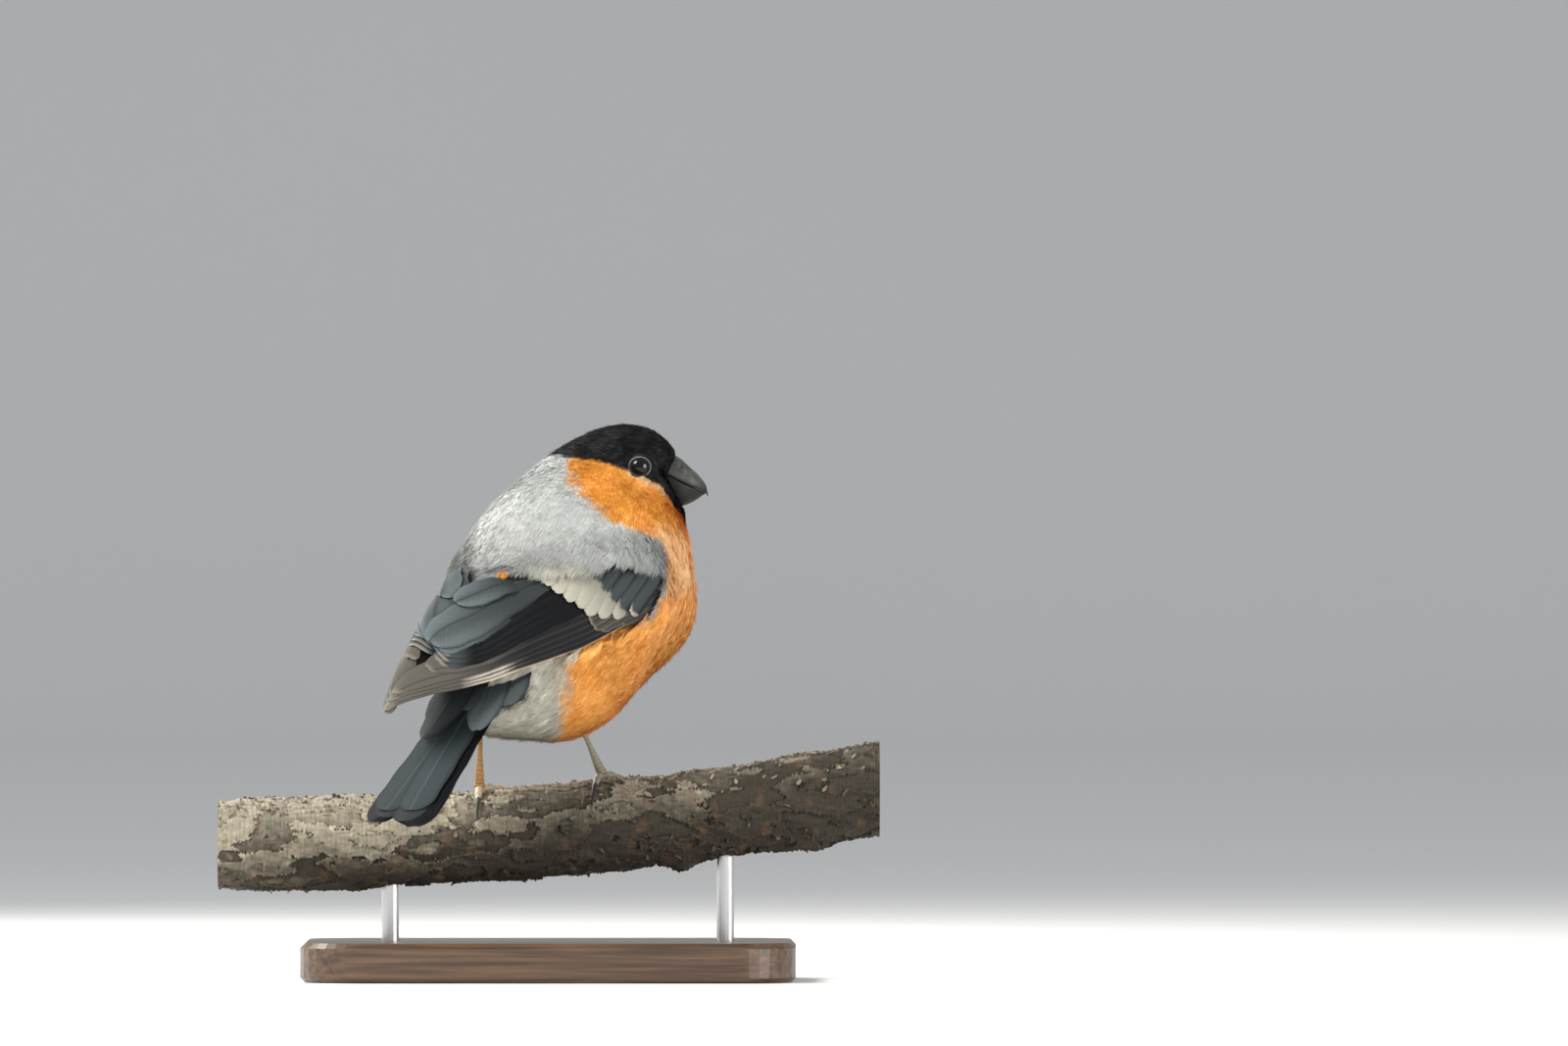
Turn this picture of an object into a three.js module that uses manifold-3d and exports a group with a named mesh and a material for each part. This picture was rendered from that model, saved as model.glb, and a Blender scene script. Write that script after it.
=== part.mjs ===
// A life-size male bullfinch on a cut length of branch, held by a plain museum stand.
// Units are millimetres and +Z is up. The origin is the middle of the base's underside.
// The branch runs along X. The bird looks along +X over its right shoulder, its back towards -Y.

import * as THREE from "three";
import { mergeVertices } from "three/addons/utils/BufferGeometryUtils.js";
import Module from "manifold-3d";

const wasm = await Module();
wasm.setup();
const { Manifold, Mesh: SolidMesh } = wasm;

// Driving dimensions
const GAP = 0.3; // between pieces that touch
const CHEST = [7, 1, 82]; // the middle of the body
const HEADING = 48; // degrees from +X to where the breast points
const BLEND = 11; // how softly the masses of the body run together
const NECK_CUT = 17.5; // height of the cut under the neck, above CHEST
const HEAD_CUT = 25.5; // height of the cut under the head, above CHEST
const EYE = { radius: 2.9, forward: 2.0, up: 1.0, inset: 2.2, lid: 2.2, lidWire: 0.34 };
// The bill points along its heading; its rows are distance from the gape, height and half width
const BILL = { gape: [28, 13.2, 114], heading: 2, pitch: -23, sides: 7, steps: 9, nostril: 0.42 };
BILL.upper = [
  [-2.2, 4.9, 4.3],
  [0, 4.65, 4.3],
  [2.5, 3.95, 4.0],
  [5.4, 2.9, 3.0],
  [7.4, 1.55, 1.6],
  [8.6, 0.5, 0.6],
  [9.1, 0.1, 0.2],
];
BILL.lower = [
  [-2.2, 5.0, 4.1],
  [0, 5.1, 4.1],
  [2.6, 5.2, 3.75],
  [4.6, 4.75, 3.1],
  [6.4, 3.1, 2.0],
  [7.7, 1.2, 0.9],
  [8.2, 0.25, 0.3],
];
const WING = { from: [14, 8, 94], to: [-36, -46, 52], thick: 0.6, sunk: -1.1, tuck: 1.7, midGap: 0.2 };
const TAIL = { root: [-5.7, -10.5, 80.2], heading: 235, pitch: -41.5, length: 62 };
const RECTRIX = { width: 8, thick: 0.6, step: 0.3 }; // one tail feather, and its drop below the last
const LEG = { tarsus: 0.72, ankle: 1.3, toe: 0.92, claw: 0.66 };
const PERCH = { length: 150, radius: 10.2, fromZ: 33.8, slope: 0.085, curve: 0.0006, sides: 16, rings: 18 };
const BASE = { length: 112, depth: 74, height: 9, corner: 12, bevel: 1.2 };
const ROD = { radius: 2.0, at: [-36, 40], socket: 5, sides: 16 };

// Small helpers
const rad = THREE.MathUtils.degToRad;
const mix = THREE.MathUtils.lerp;
const clamp = THREE.MathUtils.clamp;
const smooth = THREE.MathUtils.smoothstep;
const V = (x, y, z) => new THREE.Vector3(x, y, z);
const vec = (a) => V(a[0], a[1], a[2]);

// Forward, left and up of a frame turned to a heading, then pitched nose up, then rolled.
function frameOf(heading, pitch = 0, roll = 0) {
  const [h, p, r] = [rad(heading), rad(pitch), rad(roll)];
  const forward = V(Math.cos(h) * Math.cos(p), Math.sin(h) * Math.cos(p), Math.sin(p));
  const flat = V(-Math.sin(h), Math.cos(h), 0);
  const over = new THREE.Vector3().crossVectors(forward, flat);
  const left = flat.clone().multiplyScalar(Math.cos(r)).addScaledVector(over, Math.sin(r));
  const up = over.clone().multiplyScalar(Math.cos(r)).addScaledVector(flat, -Math.sin(r));
  return { forward, left, up };
}

// A point given by its distances forward, left and up in a frame.
function along(origin, frame, f, l, u) {
  return origin
    .clone()
    .addScaledVector(frame.forward, f)
    .addScaledVector(frame.left, l)
    .addScaledVector(frame.up, u);
}

const BODY_FRAME = frameOf(HEADING);
const bodyPoint = (f, l, u) => along(vec(CHEST), BODY_FRAME, f, l, u);

// Solids
function solidOf(geometry) {
  const bare = geometry.clone();
  bare.deleteAttribute("normal");
  bare.deleteAttribute("uv");
  const merged = mergeVertices(bare, 1e-4);
  return new Manifold(
    new SolidMesh({
      numProp: 3,
      vertProperties: new Float32Array(merged.attributes.position.array),
      triVerts: new Uint32Array(merged.index.array),
    }),
  );
}

function geometryOf(solid) {
  const mesh = solid.getMesh();
  const position = new Float32Array(mesh.numVert * 3);
  for (let i = 0; i < mesh.numVert; i++) {
    position.set(mesh.vertProperties.subarray(i * mesh.numProp, i * mesh.numProp + 3), i * 3);
  }
  return new THREE.BufferGeometry()
    .setAttribute("position", new THREE.BufferAttribute(position, 3))
    .setIndex(new THREE.BufferAttribute(new Uint32Array(mesh.triVerts), 1));
}

const joined = (solids) => Manifold.union(solids);

function largest(solid) {
  const pieces = solid.decompose();
  return pieces.reduce((best, piece) => (piece.volume() > best.volume() ? piece : best));
}

// The part of a solid on the side of a plane that the normal points to.
function keepAbove(solid, point, normal) {
  return solid.trimByPlane([normal.x, normal.y, normal.z], point.dot(normal));
}
const keepBelow = (solid, point, normal) => keepAbove(solid, point, normal.clone().negate());

// A closed solid through rings of points, with flat ends. place(i, j) is point j of ring i.
function loft(rings, sides, place) {
  const position = [];
  for (let i = 0; i < rings; i++) {
    for (let j = 0; j < sides; j++) position.push(...place(i, j).toArray());
  }
  const at = (i, j) => i * sides + (j % sides);
  const index = [];
  for (let i = 0; i + 1 < rings; i++) {
    for (let j = 0; j < sides; j++) {
      index.push(at(i, j), at(i + 1, j), at(i + 1, j + 1));
      index.push(at(i, j), at(i + 1, j + 1), at(i, j + 1));
    }
  }
  for (let j = 1; j + 1 < sides; j++) {
    index.push(at(0, 0), at(0, j), at(0, j + 1));
    index.push(at(rings - 1, 0), at(rings - 1, j + 1), at(rings - 1, j));
  }
  return rightWayOut(position, index);
}

// A solid from its corners, with its faces turned outwards.
function rightWayOut(position, index) {
  const geometry = new THREE.BufferGeometry();
  geometry.setAttribute("position", new THREE.BufferAttribute(new Float32Array(position), 3));
  geometry.setIndex(index);
  const solid = solidOf(geometry);
  if (solid.volume() > 0) return solid;
  geometry.setIndex(index.slice().reverse());
  return solidOf(geometry);
}

// A thin closed sheet: place(u, v, face) gives its point, face 1 on top and 0 underneath.
function sheet(nu, nv, place) {
  const position = [];
  for (const face of [1, 0]) {
    for (let i = 0; i <= nu; i++) {
      for (let j = 0; j <= nv; j++) position.push(...place(i / nu, j / nv, face).toArray());
    }
  }
  const count = (nu + 1) * (nv + 1);
  const at = (i, j, face) => i * (nv + 1) + j + (face ? 0 : count);
  const index = [];
  const quad = (a, b, c, d) => index.push(a, b, c, a, c, d);
  for (let i = 0; i < nu; i++) {
    for (let j = 0; j < nv; j++) {
      quad(at(i, j, 1), at(i + 1, j, 1), at(i + 1, j + 1, 1), at(i, j + 1, 1));
      index.push(at(i, j, 0), at(i + 1, j + 1, 0), at(i + 1, j, 0));
      index.push(at(i, j, 0), at(i, j + 1, 0), at(i + 1, j + 1, 0));
    }
    quad(at(i, 0, 0), at(i + 1, 0, 0), at(i + 1, 0, 1), at(i, 0, 1));
    quad(at(i, nv, 1), at(i + 1, nv, 1), at(i + 1, nv, 0), at(i, nv, 0));
  }
  for (let j = 0; j < nv; j++) {
    quad(at(0, j, 1), at(0, j + 1, 1), at(0, j + 1, 0), at(0, j, 0));
    quad(at(nu, j, 0), at(nu, j + 1, 0), at(nu, j + 1, 1), at(nu, j, 1));
  }
  return rightWayOut(position, index);
}

// A round rod that follows points, with a radius at each.
function rod(points, radii, sides) {
  const frames = new THREE.CatmullRomCurve3(points).computeFrenetFrames(points.length - 1, false);
  return loft(points.length, sides, (i, j) => {
    const angle = (2 * Math.PI * j) / sides;
    return points[i]
      .clone()
      .addScaledVector(frames.normals[i], radii[i] * Math.cos(angle))
      .addScaledVector(frames.binormals[i], radii[i] * Math.sin(angle));
  });
}

// The body's masses: middle, half sizes along, across and deep, heading and pitch
const MASSES = [
  { at: bodyPoint(2.6, 0, 9.7), half: [17.6, 23.2, 28.2], heading: 46, pitch: 58.3 }, // chest
  { at: bodyPoint(-2.2, 0, -0.8), half: [28, 19.9, 18.6], heading: 50, pitch: 68 }, // belly
  { at: bodyPoint(-10.4, 0, 8.6), half: [30, 19.1, 14.6], heading: 46, pitch: 25.3 }, // mantle
  { at: bodyPoint(-22.1, 0, -12.2), half: [16.1, 13, 12], heading: 54, pitch: 44.3 }, // rump
  { at: bodyPoint(7.6, 0.8, 21.8), half: [11.7, 17.1, 17.2], heading: 30, pitch: 59.2 }, // neck
  { at: bodyPoint(17.1, -0.6, 34.7), half: [10.4, 11.4, 9], heading: 2, pitch: -10.8 }, // crown
  { at: bodyPoint(12.1, 4, 29.5), half: [10.7, 12.4, 7.6], heading: 4, pitch: -17.6 }, // cheeks
];
const HEAD_AT = bodyPoint(16.1, -0.3, 33.6);

function massDistance(p, mass) {
  mass.frame ??= frameOf(mass.heading, mass.pitch);
  const d = p.clone().sub(mass.at);
  const q = [d.dot(mass.frame.forward), d.dot(mass.frame.left), d.dot(mass.frame.up)];
  const near = Math.hypot(...q.map((x, i) => x / mass.half[i]));
  const steep = Math.hypot(...q.map((x, i) => x / mass.half[i] ** 2));
  return (near * (near - 1)) / Math.max(steep, 1e-9);
}

function softUnion(a, b, blend) {
  const h = Math.max(blend - Math.abs(a - b), 0) / blend;
  return Math.min(a, b) - (h * h * blend) / 4;
}

const bodyDistance = (p) =>
  MASSES.map((mass) => massDistance(p, mass)).reduce((a, b) => softUnion(a, b, BLEND));

// Where a ray from a point first meets a surface, seen from outside.
function reach(distance, from, direction, grow = 0, start = 60) {
  let r = start;
  for (let i = 0; i < 90; i++) {
    const step = distance(from.clone().addScaledVector(direction, r)) - grow;
    r -= 0.8 * step;
    if (Math.abs(step) < 1e-3 || r < 0.3) break;
  }
  return Math.max(r, 0.3);
}

// The body's surface as seen from one point inside it.
function wrapped(centre, detail, grow = 0) {
  const geometry = mergeVertices(bareIcosahedron(detail), 1e-5);
  const position = geometry.attributes.position;
  for (let i = 0; i < position.count; i++) {
    const direction = V(position.getX(i), position.getY(i), position.getZ(i)).normalize();
    const p = centre.clone().addScaledVector(direction, reach(bodyDistance, centre, direction, grow));
    position.setXYZ(i, p.x, p.y, p.z);
  }
  return solidOf(geometry);
}

function bareIcosahedron(detail) {
  const geometry = new THREE.IcosahedronGeometry(1, detail);
  geometry.deleteAttribute("normal");
  geometry.deleteAttribute("uv");
  return geometry;
}

// Torso, neck and head: one surface, parted by two thin cuts
const neckNormal = frameOf(34, 58).forward;
const headNormal = frameOf(10, 62).forward;
const neckPoint = bodyPoint(6, -1, NECK_CUT);
const headPoint = bodyPoint(10, -1, HEAD_CUT);

const torsoCentre = bodyPoint(-2, 0, 1);
const neckCentre = bodyPoint(8, -1, 20);
const torsoWhole = wrapped(torsoCentre, 9);
const torsoGrown = wrapped(torsoCentre, 9, GAP);
const neckWhole = wrapped(neckCentre, 7);
const neckGrown = wrapped(neckCentre, 7, GAP);

const shift = (point, normal, by) => point.clone().addScaledVector(normal, by);
const torsoSolid = keepBelow(torsoWhole, shift(neckPoint, neckNormal, -GAP / 2), neckNormal);
const neckSolid = keepBelow(
  keepAbove(neckWhole, shift(neckPoint, neckNormal, GAP / 2), neckNormal),
  shift(headPoint, headNormal, -GAP / 2),
  headNormal,
);

// Head
const HEAD_FRAME = frameOf(2, -4);
function eyeCentre(side) {
  const start = along(HEAD_AT, HEAD_FRAME, EYE.forward, 0, EYE.up);
  const outward = HEAD_FRAME.left.clone().multiplyScalar(side);
  const surface = reach(bodyDistance, start, outward, 0, 30);
  return { centre: start.clone().addScaledVector(outward, surface - EYE.inset), outward };
}

function eyeBall(side, grow = 0) {
  const { centre } = eyeCentre(side);
  const ball = new THREE.IcosahedronGeometry(EYE.radius + grow, 2);
  ball.translate(centre.x, centre.y, centre.z);
  return solidOf(ball);
}

// The raised rim of the lids round one eye.
function lidRim(side) {
  const { centre, outward } = eyeCentre(side);
  const ring = new THREE.TorusGeometry(EYE.lid, EYE.lidWire, 5, 16);
  ring.applyQuaternion(new THREE.Quaternion().setFromUnitVectors(V(0, 0, 1), outward));
  const clear = EYE.radius + GAP + 0.7 * EYE.lidWire;
  const at = centre.clone().addScaledVector(outward, Math.sqrt(clear ** 2 - EYE.lid ** 2));
  ring.translate(at.x, at.y, at.z);
  return solidOf(ring);
}

// Bill: two mandibles that meet along the line of the mouth
const BILL_FRAME = frameOf(BILL.heading, BILL.pitch);
const billPoint = (f, l, u) => along(vec(BILL.gape), BILL_FRAME, f, l, u);
const mouthLine = (f) => -0.25 * Math.sin(Math.PI * clamp(f / 8, 0, 1)) - 0.75 * smooth(f, 7.6, 9.1);

// A row of the bill at a distance from the gape, between the rows that are given.
function billRow(rows, f) {
  const next = Math.max(1, rows.findIndex((row) => row[0] >= f - 1e-9));
  const [a, b] = [rows[next - 1], rows[next]];
  const t = (f - a[0]) / (b[0] - a[0]);
  return [mix(a[1], b[1], t), mix(a[2], b[2], t)];
}

function mandible(rows, up, grow = 0) {
  const { sides, steps } = BILL;
  const far = rows.at(-1)[0];
  return loft(steps + 1, 2 * sides, (i, j) => {
    const f = mix(rows[0][0], far, 1 - (1 - i / steps) ** 1.4);
    const [height, half] = billRow(rows, f);
    const arch = j <= sides;
    const turn = (Math.PI * (arch ? j : 2 * sides - j)) / sides;
    const rise = arch ? Math.sin(turn) ** 0.85 * (height + grow) : -grow;
    const across = Math.cos(turn) * (half + grow);
    return billPoint(f + (i === steps ? grow : 0), across, mouthLine(f) + up * (GAP / 2 + rise));
  });
}

function nostril(side) {
  const hole = new THREE.IcosahedronGeometry(BILL.nostril, 0);
  const at = billPoint(0.9, side * 3.1, 3.0);
  hole.translate(at.x, at.y, at.z);
  return solidOf(hole);
}

// Wings: feathers are laid on a chart of the back and flank, s millimetres along the wing's
// axis and an angle round it, from 0 on the flank to 90 on the middle of the back
const WING_AXIS = vec(WING.to).sub(vec(WING.from)).normalize();
const WING_OUT = V(-WING_AXIS.y, WING_AXIS.x, 0).normalize();
const WING_UP = new THREE.Vector3().crossVectors(WING_AXIS, WING_OUT);
const BEYOND_RUMP = {
  at: bodyPoint(-33.6, 0, -9.3),
  half: [42.4, 7.6, 17.2],
  heading: 48,
  pitch: 43.7,
};
const wingGround = (p) => softUnion(bodyDistance(p), massDistance(p, BEYOND_RUMP), 6);

function wingRay(side, s, angle) {
  const from = vec(WING.from).addScaledVector(WING_AXIS, s);
  const direction = WING_OUT.clone().multiplyScalar(-side * Math.cos(rad(angle)));
  return { from, direction: direction.addScaledVector(WING_UP, Math.sin(rad(angle))) };
}

const groundAt = new Map();
function wingGroundRadius(side, s, angle) {
  const key = [side, s.toFixed(3), angle.toFixed(3)].join();
  const { from, direction } = wingRay(side, s, angle);
  if (!groundAt.has(key)) groundAt.set(key, reach(wingGround, from, direction, 0, 45));
  return groundAt.get(key);
}

function wingPoint(side, s, angle, lift) {
  const { from, direction } = wingRay(side, s, angle);
  return from.addScaledVector(direction, wingGroundRadius(side, s, angle) + lift);
}

// The width of a vane at t of its length, as a share of its full width.
function vaneWidth(t, blunt) {
  const pastBlunt = Math.max(t - blunt, 0) / (1.01 - blunt);
  const end = Math.sqrt(Math.max(1 - pastBlunt ** 2, 0.02));
  return mix(0.62, 1, smooth(t, 0, 0.3)) * end;
}

// The left wing's shoulder is tucked deeper into the back than the right one's.
const tucked = (side, s, angle) =>
  side > 0 ? WING.tuck * (1 - smooth(s, 30, 48)) * smooth(angle, 25, 50) : 0;

// One feather of a wing: a vane that is sunk into the body near its root and free near its tip.
function wingVane(side, feather) {
  const { root, tip, width, lift, slope, bend = 0, steps = 5, across = 1, blunt = 0.72 } = feather;
  return sheet(steps, across, (u, v, face) => {
    const t = 1 - (1 - u) ** 1.35;
    const s = mix(root[0], tip[0], t);
    const middle = mix(root[1], tip[1], t) + bend * Math.sin(Math.PI * t);
    const x = (v - 0.5) * width * vaneWidth(t, blunt);
    const angle = middle + THREE.MathUtils.radToDeg(x / Math.max(wingGroundRadius(side, s, middle), 8));
    const top = mix(lift[0], lift[1], smooth(t, 0, lift[2] ?? 0.5)) - slope * x - tucked(side, s, middle);
    const free = smooth(s, 48, 60);
    const bottom = mix(Math.min(WING.sunk, top - WING.thick), top - WING.thick, free);
    return wingPoint(side, s, angle, face ? top : bottom);
  });
}

const PRIMARIES = 7;
const SECONDARIES = 4;
function remiges() {
  const list = [];
  for (let i = 0; i < PRIMARIES; i++) {
    const k = i / (PRIMARIES - 1); // 0 is the outermost, longest primary
    list.push({
      root: [mix(20, 26, k), mix(2, 15, k)],
      tip: [mix(79.5, 64, k ** 0.8), mix(76, 54, k)],
      bend: mix(-6, -1, k),
      lift: [1.2, mix(1.9, 1.6, k)],
      width: 6.2,
      slope: 0.24,
      steps: 6,
    });
  }
  for (let i = 0; i < SECONDARIES; i++) {
    const k = i / (SECONDARIES - 1);
    list.push({
      root: [mix(27, 30, k), mix(20, 36, k)],
      tip: [mix(63.5, 63, k), mix(55, 67, k)],
      lift: [0.6, 1.8],
      width: 6.2,
      slope: 0.2,
      steps: 4,
    });
  }
  return list;
}

const TERTIALS = [
  { root: [33, 40], tip: [64.5, 75], lift: [1.0, 2.3], width: 7.2, slope: 0.12, bend: 1 },
  { root: [35, 50], tip: [53.5, 78], lift: [0.9, 2.7, 0.7], width: 7.4, slope: 0.1, bend: 4 },
];

const GREATER_COVERTS = 7;
function coverts() {
  const list = [];
  for (let i = 0; i < GREATER_COVERTS; i++) {
    const k = i / (GREATER_COVERTS - 1);
    list.push({
      root: [mix(12, 25, k), mix(4, 40, k)],
      tip: [21 + 14.5 * Math.sin((k * Math.PI) / 2) ** 0.9, mix(1, 45, k)],
      lift: [0.9, 2.1, 0.7],
      width: 5,
      slope: 0.16,
      blunt: 0.82,
      steps: 4,
    });
  }
  list.push({ root: [15, -1], tip: [30.5, 5], lift: [0.9, 1.7, 0.6], width: 5, slope: 0.16, steps: 4 });
  list.push({ root: [13, -4], tip: [26, -1.5], lift: [0.8, 1.4, 0.6], width: 4, slope: 0.16, steps: 4 });
  return list;
}

// The lesser coverts, one low cushion over the bend of the wing.
function wingCushion(side) {
  return sheet(6, 6, (u, v, face) => {
    const front = 7 + 45 * (v - 0.42) ** 2;
    const s = mix(front, mix(17, 33, v ** 1.4), u);
    const swell = Math.min(Math.sin(Math.PI * u), Math.sin(Math.PI * v)) ** 0.6;
    const angle = mix(-8, 46, v);
    const top = mix(1.0, 2.3, swell) - tucked(side, s, angle);
    return wingPoint(side, s, angle, face ? top : WING.sunk - 1);
  });
}

function wing(side) {
  const vanes = [...remiges(), ...TERTIALS, ...coverts()].map((feather) => wingVane(side, feather));
  const whole = joined([wingCushion(side), ...vanes]).subtract(torsoGrown).subtract(neckGrown);
  const middle = WING_OUT.clone().multiplyScalar(-side);
  return largest(keepAbove(whole, vec(WING.from).addScaledVector(middle, WING.midGap), middle));
}

// Tail: twelve feathers in a narrow fan, the middle pair on top, under long coverts
const TAIL_FRAME = frameOf(TAIL.heading, TAIL.pitch);
function tailVane({ turn, length, lift, width, thick, steps = 5, start = 0 }) {
  const [c, s] = [Math.cos(rad(turn)), Math.sin(rad(turn))];
  return sheet(steps, 2, (u, v, face) => {
    const t = 1 - (1 - u) ** 1.5;
    const x = (v - 0.5) * width * vaneWidth(t, 0.84);
    const camber = 0.5 * (1 - (2 * v - 1) ** 2) - start * (1 - t) ** 2;
    const f = mix(0, length, t);
    return along(vec(TAIL.root), TAIL_FRAME, f * c - x * s, f * s + x * c, lift + camber + face * thick);
  });
}

function tail() {
  const vanes = [];
  for (let pair = 0; pair < 6; pair++) {
    for (const hand of [-1, 1]) {
      const turn = hand * (0.9 + 0.95 * pair);
      const lift = -RECTRIX.step * pair + (hand > 0 ? 0 : 0.15);
      const length = TAIL.length + 0.4 * pair;
      vanes.push(tailVane({ turn, length, lift, width: RECTRIX.width, thick: RECTRIX.thick }));
    }
  }
  const above = [[-7, 39], [8.5, 36], [-2.5, 31], [3, 26]];
  for (const [turn, length] of above) {
    vanes.push(tailVane({ turn, length, lift: 0.6, width: 8, thick: 1.3, steps: 4, start: 1.5 }));
  }
  for (const turn of [-8, 0, 8]) {
    vanes.push(tailVane({ turn, length: 27, lift: -3.6, width: 7.6, thick: 1.8, steps: 4 }));
  }
  return largest(joined(vanes).subtract(torsoGrown));
}

// Perch
const perchCentre = (x) => V(x, 0, PERCH.fromZ + PERCH.slope * x + PERCH.curve * x * x);
const knob = (x, angle, at, turn, height, wide) =>
  height * Math.exp(-(((x - at) / wide) ** 2)) * Math.max(Math.cos(angle - rad(turn)), 0) ** 6;
function perchRadius(x, angle) {
  const below = knob(x, angle, 30, -92, 2.2, 3.5) + knob(x, angle, 61, -95, 1.2, 4);
  const knobs = below + knob(x, angle, 40, 200, 0.8, 4);
  const swell = 0.3 * Math.sin(0.11 * x + 1) + 0.2 * Math.sin(0.31 * x + 2 * angle);
  return PERCH.radius + swell + knobs;
}

function perch() {
  const { length, sides, rings } = PERCH;
  return loft(rings + 1, sides, (i, j) => {
    const x = mix(-length / 2, length / 2, i / rings);
    const angle = (2 * Math.PI * j) / sides;
    const r = perchRadius(x, angle);
    return perchCentre(x).add(V(0, r * Math.cos(angle), r * Math.sin(angle)));
  });
}

// A point over the branch's bark: x along it, and degrees round it from +Y over the top.
function onPerch(x, degrees, lift) {
  const angle = rad(degrees);
  const r = perchRadius(x, angle) + lift;
  return perchCentre(x).add(V(0, r * Math.cos(angle), r * Math.sin(angle)));
}

// Legs: each foot grips the branch with three toes in front and one behind
const LEGS = {
  r: { heel: [5.9, -9.2, 61], foot: 11.8, at: 90, hind: 257, inner: 88, middle: 62, outer: 40 },
  l: { heel: [-15.4, -8.6, 61.6], foot: -15.8, at: 94, hind: 268, inner: 28, middle: 58, outer: 92 },
};
const TOES = [
  { name: "hind", length: 6.5, clawLength: 6 },
  { name: "inner", length: 8.2, clawLength: 4.2 },
  { name: "middle", length: 11.5, clawLength: 4.6 },
  { name: "outer", length: 9, clawLength: 4.2 },
];

// Where a toe is after a length of it, as it creeps over the bark and curls round.
function toePoint(leg, toe, length, lift) {
  const heading = rad(leg[toe.name]);
  const x = leg.foot + length * Math.cos(heading) * (1 - 0.02 * length);
  const curl = 0.18 * Math.abs(Math.cos(heading)) * length * (length / toe.length);
  const round = Math.sin(heading) * length + Math.sign(Math.sin(heading)) * curl;
  return onPerch(x, leg.at - THREE.MathUtils.radToDeg(round / (PERCH.radius + 1)), lift);
}

const joints = (share) => 1 + 0.1 * Math.cos(6 * Math.PI * share);
function toeRod(leg, toe) {
  const points = [];
  const radii = [];
  for (let i = 0; i <= 6; i++) {
    const share = i / 6;
    const thick = LEG.toe * mix(1.1, 0.72, share) * joints(share);
    points.push(toePoint(leg, toe, toe.length * share, GAP + thick));
    radii.push(thick);
  }
  return rod(points, radii, 6);
}

function clawRod(leg, toe) {
  const points = [];
  for (let i = 0; i <= 4; i++) {
    const t = i / 4;
    const lift = GAP + mix(0.8, 0.15, t) + 0.7 * Math.sin(Math.PI * t);
    points.push(toePoint(leg, toe, toe.length + GAP + 0.1 + toe.clawLength * t, lift));
  }
  return rod(points, [1, 0.92, 0.72, 0.44, 0.14].map((share) => share * LEG.claw), 6);
}

const ankleAt = (leg) => onPerch(leg.foot, leg.at, LEG.ankle + GAP + 0.2);
function foot(leg) {
  const ball = new THREE.IcosahedronGeometry(LEG.ankle, 1);
  const at = ankleAt(leg);
  ball.translate(at.x, at.y, at.z);
  return joined([...TOES.map((toe) => toeRod(leg, toe)), solidOf(ball)]);
}

// The room that a foot takes at the end of the leg, with a gap round it.
function footRoom(leg) {
  const room = new THREE.IcosahedronGeometry(LEG.ankle + GAP, 2);
  const at = ankleAt(leg);
  room.translate(at.x, at.y, at.z);
  return solidOf(room);
}

function shank(leg, grow = 0) {
  const [top, bottom] = [vec(leg.heel), ankleAt(leg)];
  const points = [];
  const radii = [];
  for (let i = 0; i <= 4; i++) {
    const t = i / 4;
    points.push(top.clone().lerp(bottom, t));
    radii.push(LEG.tarsus * (1 + 0.4 * t ** 4 + 0.2 * (1 - t) ** 4) + grow);
  }
  return rod(points, radii, 8);
}

// Stand
function roundedPlate() {
  const { length, depth, height, corner, bevel } = BASE;
  const [x, y] = [length / 2 - bevel, depth / 2 - bevel];
  const shape = new THREE.Shape();
  shape.moveTo(-x + corner, -y);
  shape.lineTo(x - corner, -y);
  shape.absarc(x - corner, -y + corner, corner, -Math.PI / 2, 0);
  shape.absarc(x - corner, y - corner, corner, 0, Math.PI / 2);
  shape.absarc(-x + corner, y - corner, corner, Math.PI / 2, Math.PI);
  shape.absarc(-x + corner, -y + corner, corner, Math.PI, 1.5 * Math.PI);
  const geometry = new THREE.ExtrudeGeometry(shape, {
    depth: height - 2 * bevel,
    bevelThickness: bevel,
    bevelSize: bevel,
    bevelSegments: 1,
    curveSegments: 4,
  });
  geometry.translate(0, 0, bevel);
  return solidOf(geometry);
}

function standRod(x, grow = 0) {
  const bottom = BASE.height - ROD.socket;
  const top = perchCentre(x).z - PERCH.radius + ROD.socket;
  const radius = ROD.radius + grow;
  const geometry = new THREE.CylinderGeometry(radius, radius, top - bottom + 2 * grow, ROD.sides);
  geometry.rotateX(Math.PI / 2);
  geometry.translate(x, 0, (top + bottom) / 2);
  return solidOf(geometry);
}

// Assembly
const COLOURS = {
  black: { color: 0x17181b, roughness: 0.7 },
  glossy: { color: 0x23262e, roughness: 0.45 },
  orange: { color: 0xe5873a, roughness: 0.85 },
  horn: { color: 0x2b2c2b, roughness: 0.4 },
  eye: { color: 0x0c0a09, roughness: 0.05 },
  leg: { color: 0x7a6450, roughness: 0.6 },
  bark: { color: 0x7d7263, roughness: 0.95 },
  wood: { color: 0x4a3526, roughness: 0.5 },
  steel: { color: 0xb9bbbe, roughness: 0.3, metalness: 1 },
};
const group = new THREE.Group();
function add(name, solid, finish) {
  const mesh = new THREE.Mesh(geometryOf(solid), new THREE.MeshStandardMaterial(COLOURS[finish]));
  mesh.name = name;
  group.add(mesh);
}

const rods = ROD.at.map((x) => standRod(x));
const rodHoles = joined(ROD.at.map((x) => standRod(x, GAP)));
const legs = Object.entries(LEGS);
const legHoles = joined(legs.map(([, leg]) => shank(leg, GAP)));

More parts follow.
